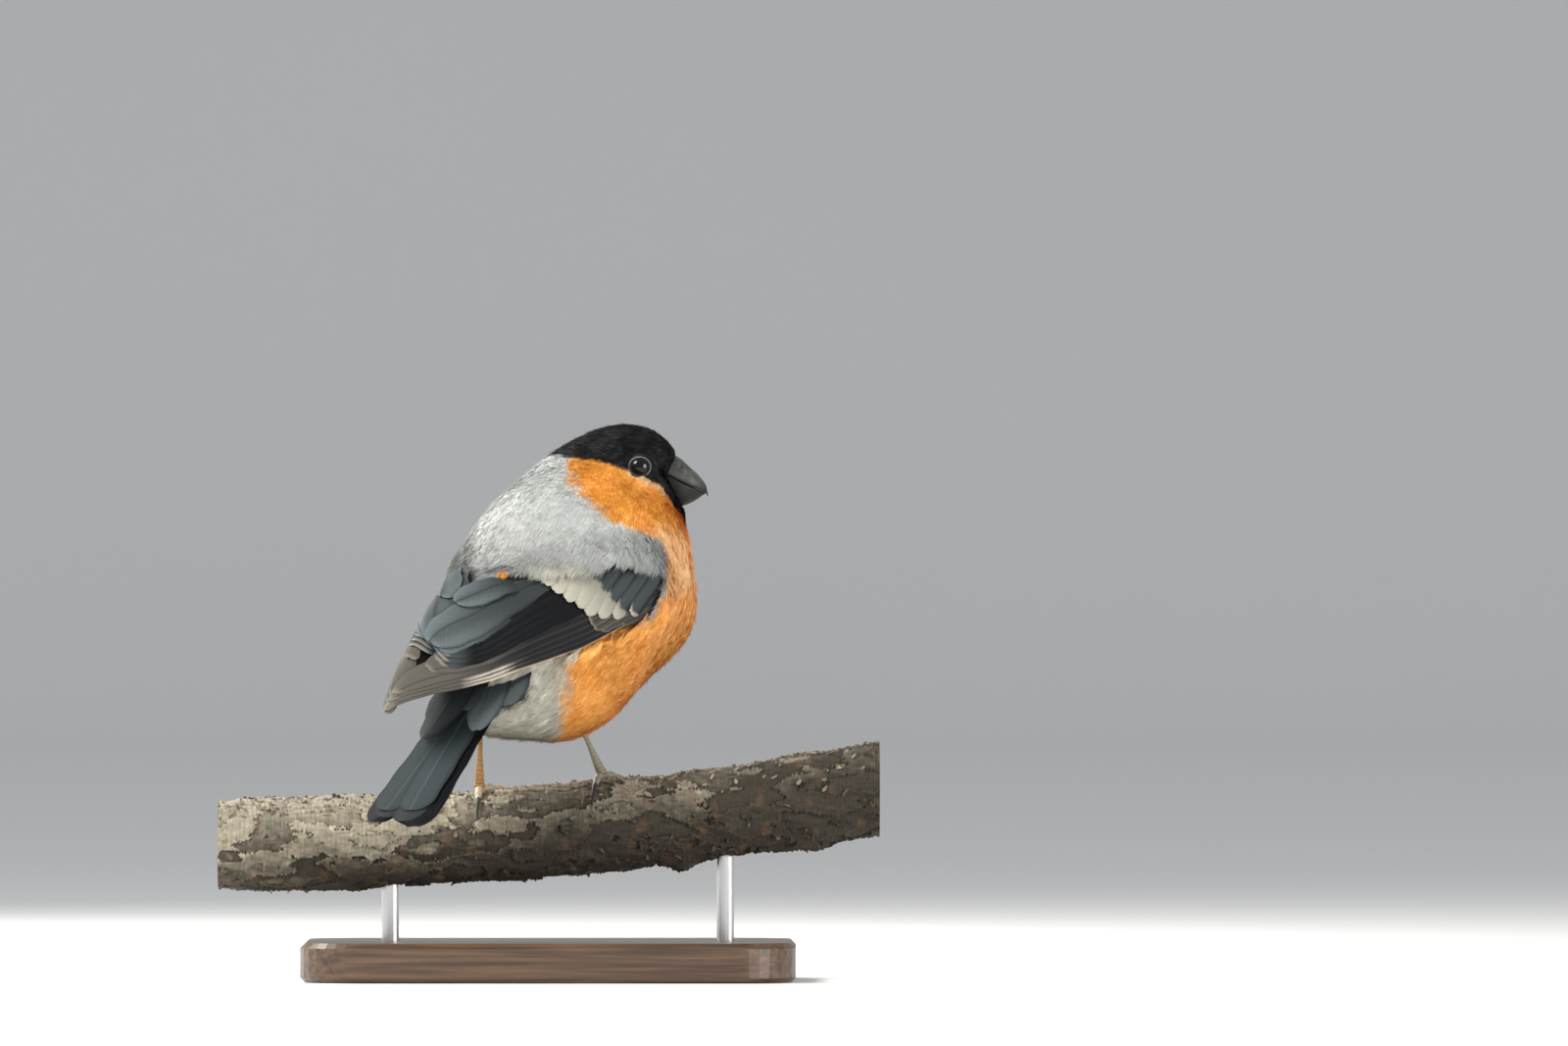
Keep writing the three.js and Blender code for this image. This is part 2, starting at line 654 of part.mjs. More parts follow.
const headWhole = keepAbove(wrapped(HEAD_AT, 7), shift(headPoint, headNormal, GAP / 2), headNormal);
let headSolid = joined([headWhole, lidRim(-1), lidRim(1)]);
headSolid = headSolid.subtract(joined([eyeBall(-1, GAP), eyeBall(1, GAP)]));
headSolid = headSolid.subtract(joined([mandible(BILL.upper, 1, GAP), mandible(BILL.lower, -1, GAP)]));

add("head", largest(headSolid), "black");
add("eye_r", eyeBall(-1), "eye");
add("eye_l", eyeBall(1), "eye");
add("upper_bill", mandible(BILL.upper, 1).subtract(joined([nostril(-1), nostril(1)])), "horn");
add("lower_bill", mandible(BILL.lower, -1), "horn");
add("neck", largest(neckSolid), "orange");
add("torso", largest(torsoSolid.subtract(legHoles)), "orange");
add("wing_r", wing(-1), "glossy");
add("wing_l", wing(1), "glossy");
add("tail", tail(), "glossy");
for (const [key, leg] of legs) {
  const grip = foot(leg);
  add(`leg_${key}`, largest(shank(leg).subtract(footRoom(leg))), "leg");
  add(`foot_${key}`, grip, "leg");
  for (const toe of TOES) add(`claw_${key}_${toe.name}`, clawRod(leg, toe), "horn");
}
add("perch", perch().subtract(rodHoles), "bark");
add("stand_base", roundedPlate().subtract(rodHoles), "wood");
rods.forEach((solid, i) => add(`stand_rod_${i + 1}`, solid, "steel"));

export default group;
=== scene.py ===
# The looks of a life-size bullfinch on a cut branch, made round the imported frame.
# Shapes are worked out in millimetres in the frame's own axes, and meshes are made in metres.

import math

import bpy
import numpy as np
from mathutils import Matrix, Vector


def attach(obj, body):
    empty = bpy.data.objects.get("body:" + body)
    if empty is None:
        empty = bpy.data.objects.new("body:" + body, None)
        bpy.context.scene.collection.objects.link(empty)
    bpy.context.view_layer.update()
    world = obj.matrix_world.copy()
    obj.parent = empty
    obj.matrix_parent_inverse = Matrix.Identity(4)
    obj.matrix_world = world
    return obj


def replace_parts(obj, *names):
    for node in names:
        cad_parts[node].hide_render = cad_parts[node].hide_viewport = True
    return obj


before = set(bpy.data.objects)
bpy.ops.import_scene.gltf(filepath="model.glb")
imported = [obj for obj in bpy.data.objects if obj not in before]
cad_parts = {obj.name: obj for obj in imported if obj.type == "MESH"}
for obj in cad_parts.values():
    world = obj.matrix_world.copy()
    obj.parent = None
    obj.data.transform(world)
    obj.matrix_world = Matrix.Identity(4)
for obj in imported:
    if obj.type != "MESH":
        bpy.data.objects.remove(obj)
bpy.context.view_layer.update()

MM = 0.001
rng = np.random.default_rng(11)

# Driving dimensions, the same as the solids have
CHEST = np.array([7.0, 1.0, 82.0])
HEADING = 48
BLEND = 11
EYE = {"radius": 2.9, "forward": 2.0, "up": 1.0, "inset": 2.2, "socket": 1.6}
BILL = {"gape": np.array([28, 13.2, 114.0]), "heading": 2, "pitch": -23, "gap": 0.08}
# Rows of the bill: distance from the gape, height and half width
UPPER_BILL = [
    [-2.2, 4.9, 4.3],
    [0, 4.65, 4.3],
    [2.5, 3.95, 4.0],
    [5.4, 2.9, 3.0],
    [7.4, 1.55, 1.6],
    [8.6, 0.5, 0.6],
    [9.1, 0.1, 0.2],
]
LOWER_BILL = [
    [-2.2, 5.0, 4.1],
    [0, 5.1, 4.1],
    [2.6, 5.2, 3.75],
    [4.6, 4.75, 3.1],
    [6.4, 3.1, 2.0],
    [7.7, 1.2, 0.9],
    [8.2, 0.25, 0.3],
]
WING_FROM = np.array([14.0, 8, 94])
WING_TO = np.array([-36.0, -46, 52])
SHOULDER_TUCK = 1.7
TAIL = {"root": np.array([-5.7, -10.5, 80.2]), "heading": 235, "pitch": -41.5, "length": 62}
LEG = {"tarsus": 0.72, "ankle": 1.3, "toe": 0.92, "claw": 0.66, "gap": 0.3}
PERCH = {"length": 150, "radius": 10.2, "from_z": 33.8, "slope": 0.085, "curve": 0.0006}

# The coat
COAT_DEPTH = 1.2  # from the tips down to the roots, over the body
FACE_DEPTH = 0.5  # the same round the bill and the eyes
FACE_REACH = 17  # how far from the bill the finest feathers grow
SKIN_BELOW = 0.12  # from the roots of the feathers down to the skin
SKIN_TONE = 0.8  # of the skin, beside the colour of its feathers
SKIN_CELLS = 190  # of the skin, along each side of its unwrap
PATCH = 0.003  # size of a tuft's patch on the unwrap
COAT_LIMIT = 190000  # triangles in one piece of the coat
TUFTS = {"face": (0.33, 0.6, 11), "body": (0.60, 1.1, 12)}
STRAYS = 0.07  # share of the tufts that stand away from the body
FLAKES = 420  # curls of loose bark

# The camera, at the photo's angle
CAMERA_LENS = 500
CAMERA_SENSOR = 36
CAMERA_AT = (53.3, -4940, 103.7)

# Lights: name, place, size, power and colour. All of them shine on one point.
LIT_POINT = (0, -5, 85)
LIGHTS = [
    ("key", (-480, -420, 640), 420, 8.4, (1.0, 0.975, 0.92)),
    ("fill", (640, -520, 200), 420, 5.0, (1.0, 0.985, 0.95)),
    ("rim", (-420, 380, 420), 600, 8.0, (1.0, 0.98, 0.94)),
]
WORLD_COLOUR = (0.93, 0.95, 1.0, 1)
WORLD_STRENGTH = 0.55
# The floor: half its width and how far it goes in front, and where and how it curves up behind
FLOOR = {"half": 6000, "front": -6000, "bend": 5300, "radius": 700, "top": 4500,
         "colour": (0.80, 0.80, 0.784)}


# Numbers and frames
def mix(a, b, t):
    return a + (b - a) * t


def smooth(x, low, high):
    t = np.clip((x - low) / (high - low), 0, 1)
    return t * t * (3 - 2 * t)


def unit(vectors):
    return vectors / np.maximum(np.linalg.norm(vectors, axis=-1, keepdims=True), 1e-9)


def dot(a, b):
    return (a * b).sum(axis=-1)


def size(vectors):
    return np.linalg.norm(vectors, axis=-1)


def bell(x):
    """1 at 0, and smoothly down to 0 on both sides."""
    return np.exp(-(x**2))


def faded(a, b, share):
    """Colours that go from a to b by a share for each point, kept within 0 and 1."""
    return mix(a, b, np.clip(share, 0, 1)[:, None])


def frame_of(heading, pitch=0.0):
    """Forward, left and up of a frame turned to a heading and pitched nose up, as rows."""
    h, p = math.radians(heading), math.radians(pitch)
    forward = np.array([math.cos(h) * math.cos(p), math.sin(h) * math.cos(p), math.sin(p)])
    left = np.array([-math.sin(h), math.cos(h), 0.0])
    return np.array([forward, left, np.cross(forward, left)])


def in_frame(points, at, axes):
    """Distances forward, left and up of points from a place, along the rows of a frame."""
    return ((points - at) @ axes.T).T


def ring_grid(shares, sides):
    """Shares along a tube and angles round it, for each point of a grid."""
    return np.meshgrid(shares, np.linspace(0, 2 * math.pi, sides, endpoint=False), indexing="ij")


def hermite(x, rows, column):
    """A smooth curve through one column of a table, over its first column."""
    values = np.array(rows, float)
    xs, ys = values[:, 0], values[:, column]
    slopes = np.gradient(ys, xs)
    i = np.clip(np.searchsorted(xs, x) - 1, 0, len(xs) - 2)
    wide = xs[i + 1] - xs[i]
    t = (x - xs[i]) / wide
    rise = (2 * t**3 - 3 * t**2 + 1) * ys[i] + (3 * t**2 - 2 * t**3) * ys[i + 1]
    return rise + (t**3 - 2 * t**2 + t) * wide * slopes[i] + (t**3 - t**2) * wide * slopes[i + 1]


def table(rows, x):
    """Straight lines through the rows of a table of two columns."""
    return np.interp(x, *np.array(rows, float).T)


class Ripple:
    """A smooth, repeatable variation in space, from -1 to 1, about size millimetres across."""

    def __init__(self, size, seed, waves=7):
        draw = np.random.default_rng(seed)
        self.ways = unit(draw.normal(size=(waves, 3))) * draw.uniform(0.6, 1.6, (waves, 1)) / size
        self.phases = draw.uniform(0, 2 * math.pi, waves)

    def __call__(self, points):
        waves = np.sin(points @ self.ways.T * 2 * math.pi + self.phases)
        return waves.sum(axis=-1) / math.sqrt(2.0 * len(self.phases))


# The body's masses and its surface
BODY = frame_of(HEADING)


def body_point(f, l, u):
    return CHEST + np.array([f, l, u], float) @ BODY


MASSES = [
    (body_point(2.6, 0, 9.7), np.array([17.6, 23.2, 28.2]), frame_of(46, 58.3)),  # chest
    (body_point(-2.2, 0, -0.8), np.array([28, 19.9, 18.6]), frame_of(50, 68)),  # belly
    (body_point(-10.4, 0, 8.6), np.array([30, 19.1, 14.6]), frame_of(46, 25.3)),  # mantle
    (body_point(-22.1, 0, -12.2), np.array([16.1, 13, 12]), frame_of(54, 44.3)),  # rump
    (body_point(7.6, 0.8, 21.8), np.array([11.7, 17.1, 17.2]), frame_of(30, 59.2)),  # neck
    (body_point(17.1, -0.6, 34.7), np.array([10.4, 11.4, 9]), frame_of(2, -10.8)),  # crown
    (body_point(12.1, 4, 29.5), np.array([10.7, 12.4, 7.6]), frame_of(4, -17.6)),  # cheeks
    (np.array([-12.2, -5.5, 65.5]), np.array([7.6, 4.7, 4.9]), frame_of(52, 34)),  # left thigh
]
BEYOND_RUMP = (body_point(-33.6, 0, -9.3), np.array([42.4, 7.6, 17.2]), frame_of(48, 43.7))
HEAD_AT = body_point(16.1, -0.3, 33.6)
HEAD = frame_of(2, -4)
BILL_FRAME = frame_of(BILL["heading"], BILL["pitch"])
BILL_ROOT = BILL["gape"] - 1.5 * BILL_FRAME[0]
CHIN = np.array([29.6, 13.2, 106.4])
TAIL_FRAME = frame_of(TAIL["heading"], TAIL["pitch"])


def mass_distance(points, mass):
    """About how far points lie outside an ellipsoid."""
    at, half, axes = mass
    q = (points - at) @ axes.T
    near = size(q / half)
    steep = size(q / half**2)
    return near * (near - 1) / np.maximum(steep, 1e-9)


def soft_union(a, b, blend):
    """The nearer of two distances, with a fillet where the surfaces meet."""
    h = np.maximum(blend - np.abs(a - b), 0) / blend
    return np.minimum(a, b) - h * h * blend / 4


def body_distance(points):
    distance = mass_distance(points, MASSES[0])
    for mass in MASSES[1:]:
        distance = soft_union(distance, mass_distance(points, mass), BLEND)
    return distance


def coat_ground(points):
    """The body with the bill's place taken out, for the skin and the small feathers."""
    f, l, u = in_frame(points, BILL["gape"], BILL_FRAME)
    edge = -1.1 + smooth(u, 2.5, 4.5) + 2.4 * smooth(-u, 1.5, 5.5) - 0.3 * np.maximum(np.abs(l) - 4, 0)
    round_bill = (np.hypot(l / 9.5, u / 5.5) - 1) * 5.5
    kept = np.minimum(f - edge, -round_bill)
    return -soft_union(-body_distance(points), -kept, 1.6)


def wing_ground(points):
    """The body made longer behind, for the closed wings to lie on."""
    return soft_union(body_distance(points), mass_distance(points, BEYOND_RUMP), 6)


def normal_at(points, step=0.05):
    """Way straight out of the coat's ground."""
    sides = [coat_ground(points + step * axis) - coat_ground(points - step * axis) for axis in np.eye(3)]
    return unit(np.stack(sides, axis=-1))


def reach(distance, start, direction, far=60.0):
    """How far a ray from a point inside goes before it leaves the surface."""
    r = np.full(len(direction), far)
    for _ in range(36):
        r = np.maximum(r - 0.8 * distance(start + direction * r[:, None]), 0.3)
    return r


def settle(points, level):
    """Points moved straight in or out until they lie at a level over the coat's ground."""
    for _ in range(3):
        points = points - normal_at(points) * (coat_ground(points) - level)[:, None]
    return points


# Mesh making
def linked(name, data):
    made = bpy.data.objects.new(name, data)
    bpy.context.scene.collection.objects.link(made)
    return made


def mesh_object(name, points, faces, material, colour=None, uv=None, uv_name="Grain", sharp=None,
                normals=None):
    """A piece from arrays. Colour, uv and normals are for each point, sharp the angle that stays a crease."""
    faces = np.asarray(faces, np.int32)
    mesh = bpy.data.meshes.new(name)
    mesh.vertices.add(len(points))
    mesh.vertices.foreach_set("co", (np.asarray(points) * MM).astype(np.float32).ravel())
    mesh.loops.add(faces.size)
    mesh.loops.foreach_set("vertex_index", faces.ravel())
    mesh.polygons.add(len(faces))
    mesh.polygons.foreach_set("loop_start", np.arange(0, faces.size, faces.shape[1], dtype=np.int32))
    mesh.polygons.foreach_set("use_smooth", np.ones(len(faces), bool))
    if colour is not None:
        rgba = np.concatenate([np.clip(colour, 0, 1), np.ones((len(points), 1))], axis=1)
        attribute = mesh.color_attributes.new("Col", "FLOAT_COLOR", "POINT")
        attribute.data.foreach_set("color", rgba.astype(np.float32).ravel())
    if uv is not None:
        layer = mesh.uv_layers.new(name=uv_name)
        corners = uv if len(uv) == faces.size else uv[faces.ravel()]
        layer.data.foreach_set("uv", corners.astype(np.float32).ravel())
    mesh.update(calc_edges=True)
    if sharp:
        mesh.set_sharp_from_angle(angle=math.radians(sharp))
    if normals is not None:
        mesh.normals_split_custom_set_from_vertices(normals.astype(np.float32))
    mesh.materials.append(material)
    piece = linked(name, mesh)
    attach(piece, "root")
    return piece


def grid_faces(rows, columns, closed=False, start=0):
    """Quads between the points of a grid, closed round its columns if asked."""
    across = columns if closed else columns - 1
    i, j = np.meshgrid(np.arange(rows - 1), np.arange(across), indexing="ij")
    i, j = i.ravel(), j.ravel()
    k = (j + 1) % columns
    corners = [i * columns + j, (i + 1) * columns + j, (i + 1) * columns + k, i * columns + k]
    return np.stack(corners, axis=1) + start


def sheet_faces(rows, columns):
    """Faces of a closed sheet: a grid, the same grid below it, and a wall round both."""
    count = rows * columns
    at = np.arange(count).reshape(rows, columns)
    rim = np.concatenate([at[:, 0], at[-1, 1:], at[-2::-1, -1], at[0, -2:0:-1]])
    after = np.roll(rim, -1)
    wall = np.stack([rim, after, after + count, rim + count], axis=1)
    lower = grid_faces(rows, columns, start=count)[:, ::-1]
    return np.concatenate([grid_faces(rows, columns), lower, wall])


def tube(centres, radii, sides):
    """Points of a round tube along a path, with a radius at each point, and its faces."""
    along = unit(np.gradient(centres, axis=0))
    side = np.zeros_like(along)
    side[0] = unit(np.cross(along[0], [0.3, 0.9, 0.2]))
    for i in range(1, len(along)):
        side[i] = unit(side[i - 1] - along[i] * dot(side[i - 1], along[i]))
    other = np.cross(along, side)
    angle = np.linspace(0, 2 * math.pi, sides, endpoint=False)
    radii = np.broadcast_to(np.asarray(radii, float).reshape(len(centres), -1), (len(centres), sides))
    ring = side[:, None] * np.cos(angle)[None, :, None] + other[:, None] * np.sin(angle)[None, :, None]
    points = centres[:, None] + ring * radii[..., None]
    return points.reshape(-1, 3), grid_faces(len(centres), sides, closed=True)


class Heap:
    """Many small shapes gathered into one mesh."""

    def __init__(self):
        self.points, self.faces, self.colours, self.uvs, self.count = [], [], [], [], 0

    def add(self, points, faces, colours, uvs=None):
        self.points.append(points)
        self.faces.append(np.asarray(faces) + self.count)
        self.colours.append(np.broadcast_to(colours, points.shape))
        self.uvs.append(np.zeros((len(points), 2)) if uvs is None else uvs)
        self.count += len(points)

    def make(self, name, material, sharp=None):
        arrays = [np.concatenate(a) for a in (self.points, self.faces, self.colours, self.uvs)]
        return mesh_object(name, arrays[0], arrays[1], material, arrays[2], arrays[3], sharp=sharp)


# Materials
def new_material(name, roughness, sockets={}):
    """A Principled material, with its even values set on the shader itself."""
    material = bpy.data.materials.new(name)
    material.use_nodes = True
    shader = material.node_tree.nodes["Principled BSDF"]
    shader.inputs["Roughness"].default_value = roughness
    for socket, value in sockets.items():
        shader.inputs[socket].default_value = value
    return material, material.node_tree.nodes, material.node_tree.links, shader


def node(nodes, kind, **inputs):
    """A new node with some of its inputs set."""
    made = nodes.new(kind)
    for name, value in inputs.items():
        made.inputs[name.replace("_", " ")].default_value = value
    return made


def painted(nodes):
    """The colour that the mesh carries at each point."""
    attribute = nodes.new("ShaderNodeAttribute")
    attribute.attribute_name = "Col"
    return attribute.outputs["Color"]


def shaded(nodes, links, colour, factor, amount):
    """A colour made darker and lighter by a factor round a half."""
    scale = node(nodes, "ShaderNodeMapRange")
    scale.inputs["To Min"].default_value = 1 - amount
    scale.inputs["To Max"].default_value = 1 + amount
    links.new(factor, scale.inputs["Value"])
    times = nodes.new("ShaderNodeVectorMath")
    times.operation = "SCALE"
    links.new(colour, times.inputs[0])
    links.new(scale.outputs["Result"], times.inputs["Scale"])
    return times.outputs["Vector"]


def object_noise(nodes, links, scale, detail, stretch=None):
    """Noise fixed to the object, of that many bumps to the metre."""
    place = nodes.new("ShaderNodeTexCoord").outputs["Object"]
    if stretch:
        mapping = nodes.new("ShaderNodeMapping")
        mapping.inputs["Scale"].default_value = stretch
        links.new(place, mapping.inputs["Vector"])
        place = mapping.outputs["Vector"]
    noise = node(nodes, "ShaderNodeTexNoise", Scale=scale, Detail=detail)
    links.new(place, noise.inputs["Vector"])
    return noise.outputs["Fac"]


def bumped(nodes, links, shader, height, strength, distance):
    """Raises a material's surface, by a distance in metres."""
    bump = node(nodes, "ShaderNodeBump", Strength=strength, Distance=distance)
    links.new(height, bump.inputs["Height"])
    links.new(bump.outputs["Normal"], shader.inputs["Normal"])


def grained_material(name, roughness, noise, amount, bump=None, sockets={}):
    """The mesh's own colours made uneven by noise: scale, detail and any stretch. It may raise bumps too."""
    material, nodes, links, shader = new_material(name, roughness, sockets)
    factor = object_noise(nodes, links, *noise)
    links.new(shaded(nodes, links, painted(nodes), factor, amount), shader.inputs["Base Color"])
    if bump:
        bumped(nodes, links, shader, factor, *bump)
    return material


def vane_material():
    """Barbs that slant away from the shaft, on the grain that the vane's mesh carries."""
    material, nodes, links, shader = new_material("vanes", 0.66, {"Specular IOR Level": 0.05})
    grain = nodes.new("ShaderNodeUVMap")
    grain.uv_map = "Grain"
    parts = nodes.new("ShaderNodeSeparateXYZ")
    links.new(grain.outputs["UV"], parts.inputs["Vector"])
    away = nodes.new("ShaderNodeMath")
    away.operation = "ABSOLUTE"
    links.new(parts.outputs["X"], away.inputs[0])
    slant = nodes.new("ShaderNodeMath")
    slant.operation = "MULTIPLY_ADD"
    slant.inputs[1].default_value = -1.3
    links.new(away.outputs["Value"], slant.inputs[0])
    links.new(parts.outputs["Y"], slant.inputs[2])
    wave = node(nodes, "ShaderNodeTexNoise", Scale=2.6, Detail=2.0)
    wave.noise_dimensions = "1D"
    links.new(slant.outputs["Value"], wave.inputs["W"])
    colour = shaded(nodes, links, painted(nodes), wave.outputs["Fac"], 0.2)
    links.new(colour, shader.inputs["Base Color"])
    bumped(nodes, links, shader, wave.outputs["Fac"], 0.25, 0.00010)
    return material


def eye_material():
    material, nodes, links, shader = new_material("eye", 0.05, {"IOR": 1.4})
    links.new(painted(nodes), shader.inputs["Base Color"])
    return material


def ramp_material(name, roughness, noise, ends, bump, sockets):
    """Two colours joined by noise. Each end of the ramp is a place on it and a colour."""
    material, nodes, links, shader = new_material(name, roughness, sockets)
    factor = object_noise(nodes, links, *noise)
    ramp = nodes.new("ShaderNodeValToRGB")
    for element, (at, colour) in zip(ramp.color_ramp.elements, ends):
        element.position = at
        element.color = (*colour, 1)
    links.new(factor, ramp.inputs["Fac"])
    links.new(ramp.outputs["Color"], shader.inputs["Base Color"])
    bumped(nodes, links, shader, factor, *bump)
    return material


# Markings: colours of the plumage, and where each one grows
BLACK = np.array([0.010, 0.010, 0.011])
GREY = np.array([0.53, 0.545, 0.53])
WHITE = np.array([0.43, 0.415, 0.345])
CREAM = np.array([0.80, 0.62, 0.40])
CHEEK = np.array([0.76, 0.325, 0.050])
BREAST = np.array([0.78, 0.37, 0.11])
DEEP = np.array([0.47, 0.18, 0.014])
PALE = np.array([0.924, 0.594, 0.297])
FLANK = np.array([0.70, 0.30, 0.055])
SLATE = np.array([0.095, 0.112, 0.118])
NIGHT = np.array([0.009, 0.0095, 0.011])
BROWN = np.array([0.140, 0.128, 0.110])
FRINGE = np.array([0.34, 0.31, 0.26])
EDGE_LINE = np.array([0.50, 0.36, 0.22])
# Lower edge of the cap: along the head and height over its middle
CAP_EDGE = [[-16, 2.3], [-13, 1.75], [-7, 1.25], [-2, 0.2], [0, -0.3], [2, -1.0], [3.3, -1.72],
            [5.5, -2.6], [7.4, -3.7], [9.5, -6.4], [11, -8.4], [12.3, -10.3], [14, -13]]
# Edge of the grey back: height over the chest and degrees round from the middle of the back
BACK_EDGE = [[0, 84], [4.8, 87], [11.4, 93], [15.8, 96], [18, 93], [19.2, 79], [22.5, 66],
             [26.5, 64], [29, 62], [32.5, 58], [35.4, 49]]
wobble = Ripple(5.0, 3)
fine_wobble = Ripple(1.6, 4)
broad_wobble = Ripple(16.0, 5)


def neck_turned(points):
    """Height over the chest, and forward and left in a frame that turns with the neck."""
    u = points[:, 2] - CHEST[2]
    k = smooth(u, 12, 34)
    heading = np.radians(mix(HEADING, 2.0, k))
    d = points - CHEST - (HEAD_AT - CHEST) * k[:, None]
    f = d[:, 0] * np.cos(heading) + d[:, 1] * np.sin(heading)
    l = d[:, 1] * np.cos(heading) - d[:, 0] * np.sin(heading)
    return u, f, l


def cap_height(points):
    """How far a point lies above the lower edge of the black cap."""
    f, l, u = in_frame(points, HEAD_AT, HEAD)
    under_bill = 1 - smooth(np.abs(l), 6.5, 8.5)
    return u - table(CAP_EDGE, f + 4 * under_bill)


def back_share(points):
    """1 on the grey back and shoulders, 0 on the breast, throat and flanks."""
    u, f, l = neck_turned(points)
    side = np.degrees(np.arctan2(np.abs(l), -f))
    rough = 2.5 * wobble(points) + 1.5 * fine_wobble(points)
    share = smooth(table(BACK_EDGE, u) - side + rough, -3, 3)
    for wing_side in (-1, 1):
        s, angle = wing_place(wing_side, points)
        low = smooth(angle - table(GREY_EDGE, s) + rough, -3, 3)
        share = share * np.where(l * wing_side > 0, low, 1)
    return share


def vent_share(points):
    """1 on the white belly, vent and rump."""
    f, l, u = in_frame(points, CHEST, BODY)
    behind = -7.4 - 0.81 * np.abs(l) - f + 1.4 * wobble(points) + 0.7 * fine_wobble(points)
    return smooth(behind, -1.5, 4.5) * (1 - smooth(u, -5, -2))


def rump_share(points):
    """1 on the black feathers over the root of the tail."""
    f, l, u = in_frame(points, TAIL["root"], TAIL_FRAME)
    black = f - 1.13 * u - 20.4 + 0.8 * wobble(points) + 0.5 * fine_wobble(points)
    side = 11.8 - 0.3 * np.maximum(f - 22, 0) - np.abs(l)
    return smooth(black, -0.6, 0.6) * smooth(side, -0.5, 0.5) * smooth(u, -4, -2)


def orange_of(points):
    """The orange of the cheeks and breast, deeper low on the breast and paler beside the wing."""
    u, f, l = neck_turned(points)
    colour = faded(BREAST, CHEEK, smooth(u, 14, 24))
    # Deeper low on the breast: a painted shade under the body.
    low = (1 - smooth(u, -6, 4)) * smooth(f, -2, 12)
    colour = faded(colour, DEEP, 0.7 * low)
    # Paler on the breast's sides beside the wing: a painted light.
    side = smooth(np.abs(l), 10, 18) * smooth(u, 3, 9) * (1 - smooth(u, 17, 22))
    colour = faded(colour, PALE, 0.85 * side)
    flank = smooth(-f, -6, 6) * (1 - smooth(u, 0, 8))
    colour = faded(colour, FLANK, 0.8 * flank)
    return colour * (1 + 0.10 * broad_wobble(points))[:, None]


def bar_share(points):
    """1 on the small white feathers at the upper end of a wing's white bar."""
    share = np.zeros(len(points))
    for side in (-1, 1):
        s, angle = wing_place(side, points)
        over = angle - table(UPPER_EDGE, s)
        here = smooth(s, 25, 29) * (1 - smooth(s, 35, 38))
        here = here * smooth(over, -5, -2) * (1 - smooth(over, 4, 13))
        share = np.maximum(share, here)
    return share


def fleck_share(points):
    """1 on the few orange feathers over the innermost flight feathers."""
    share = np.zeros(len(points))
    for side, at, turn in ((-1, 39.0, 69), (1, 45.5, 97)):
        s, angle = wing_place(side, points)
        share = np.maximum(share, np.exp(-(((s - at) / 1.9) ** 2) - ((angle - turn) / 3.5) ** 2))
    return smooth(share, 0.3, 0.6)


def plumage_colour(points):
    """The colour of the skin and of the small feathers at each point."""
    back = back_share(points)
    height = points[:, 2] - CHEST[2]
    # The grey is painted darker low on the back and shoulders, a painted shade.
    grey = GREY * (mix(0.54, 1.0, smooth(height, 7, 22)) + 0.04 * broad_wobble(points))[:, None]
    colour = faded(orange_of(points), grey, back)
    colour = faded(colour, WHITE, vent_share(points))
    colour = faded(colour, WHITE, 0.7 * bar_share(points))
    colour = faded(colour, CHEEK, fleck_share(points))
    colour = faded(colour, BLACK * 1.2, rump_share(points))
    round_bill = 7.5 - size(points - BILL_ROOT)
    above = np.maximum(cap_height(points), round_bill) + 0.25 * wobble(points) + 0.2 * fine_wobble(points)
    forward = in_frame(points, HEAD_AT, HEAD)[0]
    fringe = smooth(above, -2.2, -0.6) * smooth(forward, -3, 1) * (1 - smooth(forward, 7, 10))
    colour = faded(colour, CREAM, 0.62 * fringe * (1 - back))
    return faded(colour, BLACK, smooth(above, -0.3, 0.3))


# Skin: one closed surface for head, neck and torso, inside the coat by its depth
SKIN_CENTRE = body_point(2, 0, 12)


def unfolded(u, v):
    """Direction from the skin's centre of a place on its unwrap, the folded faces of an octahedron."""
    x, y = 2 * u - 1, 2 * v - 1
    z = 1 - np.abs(x) - np.abs(y)
    fold = np.maximum(-z, 0)
    x = x - np.where(x >= 0, fold, -fold)
    y = y - np.where(y >= 0, fold, -fold)
    return unit(np.stack([x, y, z], axis=-1))


def unwrapped(points):
    """Place of points on the skin's unwrap."""
    d = points - SKIN_CENTRE
    d = d / np.abs(d).sum(axis=-1, keepdims=True)
    x, y = d[:, 0], d[:, 1]
    below = d[:, 2] < 0
    folded_x = np.where(x >= 0, 1, -1) * (1 - np.abs(y))
    folded_y = np.where(y >= 0, 1, -1) * (1 - np.abs(x))
    return np.stack([np.where(below, folded_x, x), np.where(below, folded_y, y)], axis=1) / 2 + 0.5


def eye_place(side):
    """The middle of an eye, and the way it looks."""
    start = (HEAD_AT + EYE["forward"] * HEAD[0] + EYE["up"] * HEAD[2])[None]
    outward = side * HEAD[1][None]
    surface = reach(body_distance, start, outward, 30.0)
    return (start + outward * (surface - EYE["inset"])[:, None])[0], outward[0]


EYES = [eye_place(-1), eye_place(1)]


def from_eye(points, side):
    """How far points lie out along the way an eye looks, and how far beside it."""
    centre, outward = EYES[side > 0]
    away = points - centre
    out = away @ outward
    return out, size(away - out[:, None] * outward)


def face_distance(points):
    """Distance from the bill's root, or from an eye's edge where that is nearer."""
    nearest = size(points - BILL_ROOT)
    for centre, _ in EYES:
        past_edge = np.maximum(size(points - centre) - 2.7, 0)
        nearest = np.minimum(nearest, 4 + 2.2 * past_edge)
    return nearest


def coat_depth(points):
    """Depth of the small feathers, from their tips down to their roots."""
    return mix(FACE_DEPTH, COAT_DEPTH, smooth(face_distance(points), 7, 18))


def socket(points):
    """How much deeper the skin lies under an eye and its lids."""
    total = np.zeros(len(points))
    for side in (-1, 1):
        out, beside = from_eye(points, side)
        total = total + EYE["socket"] * (out > -2) * (1 - smooth(beside, 1.8, 3.0))
    return total


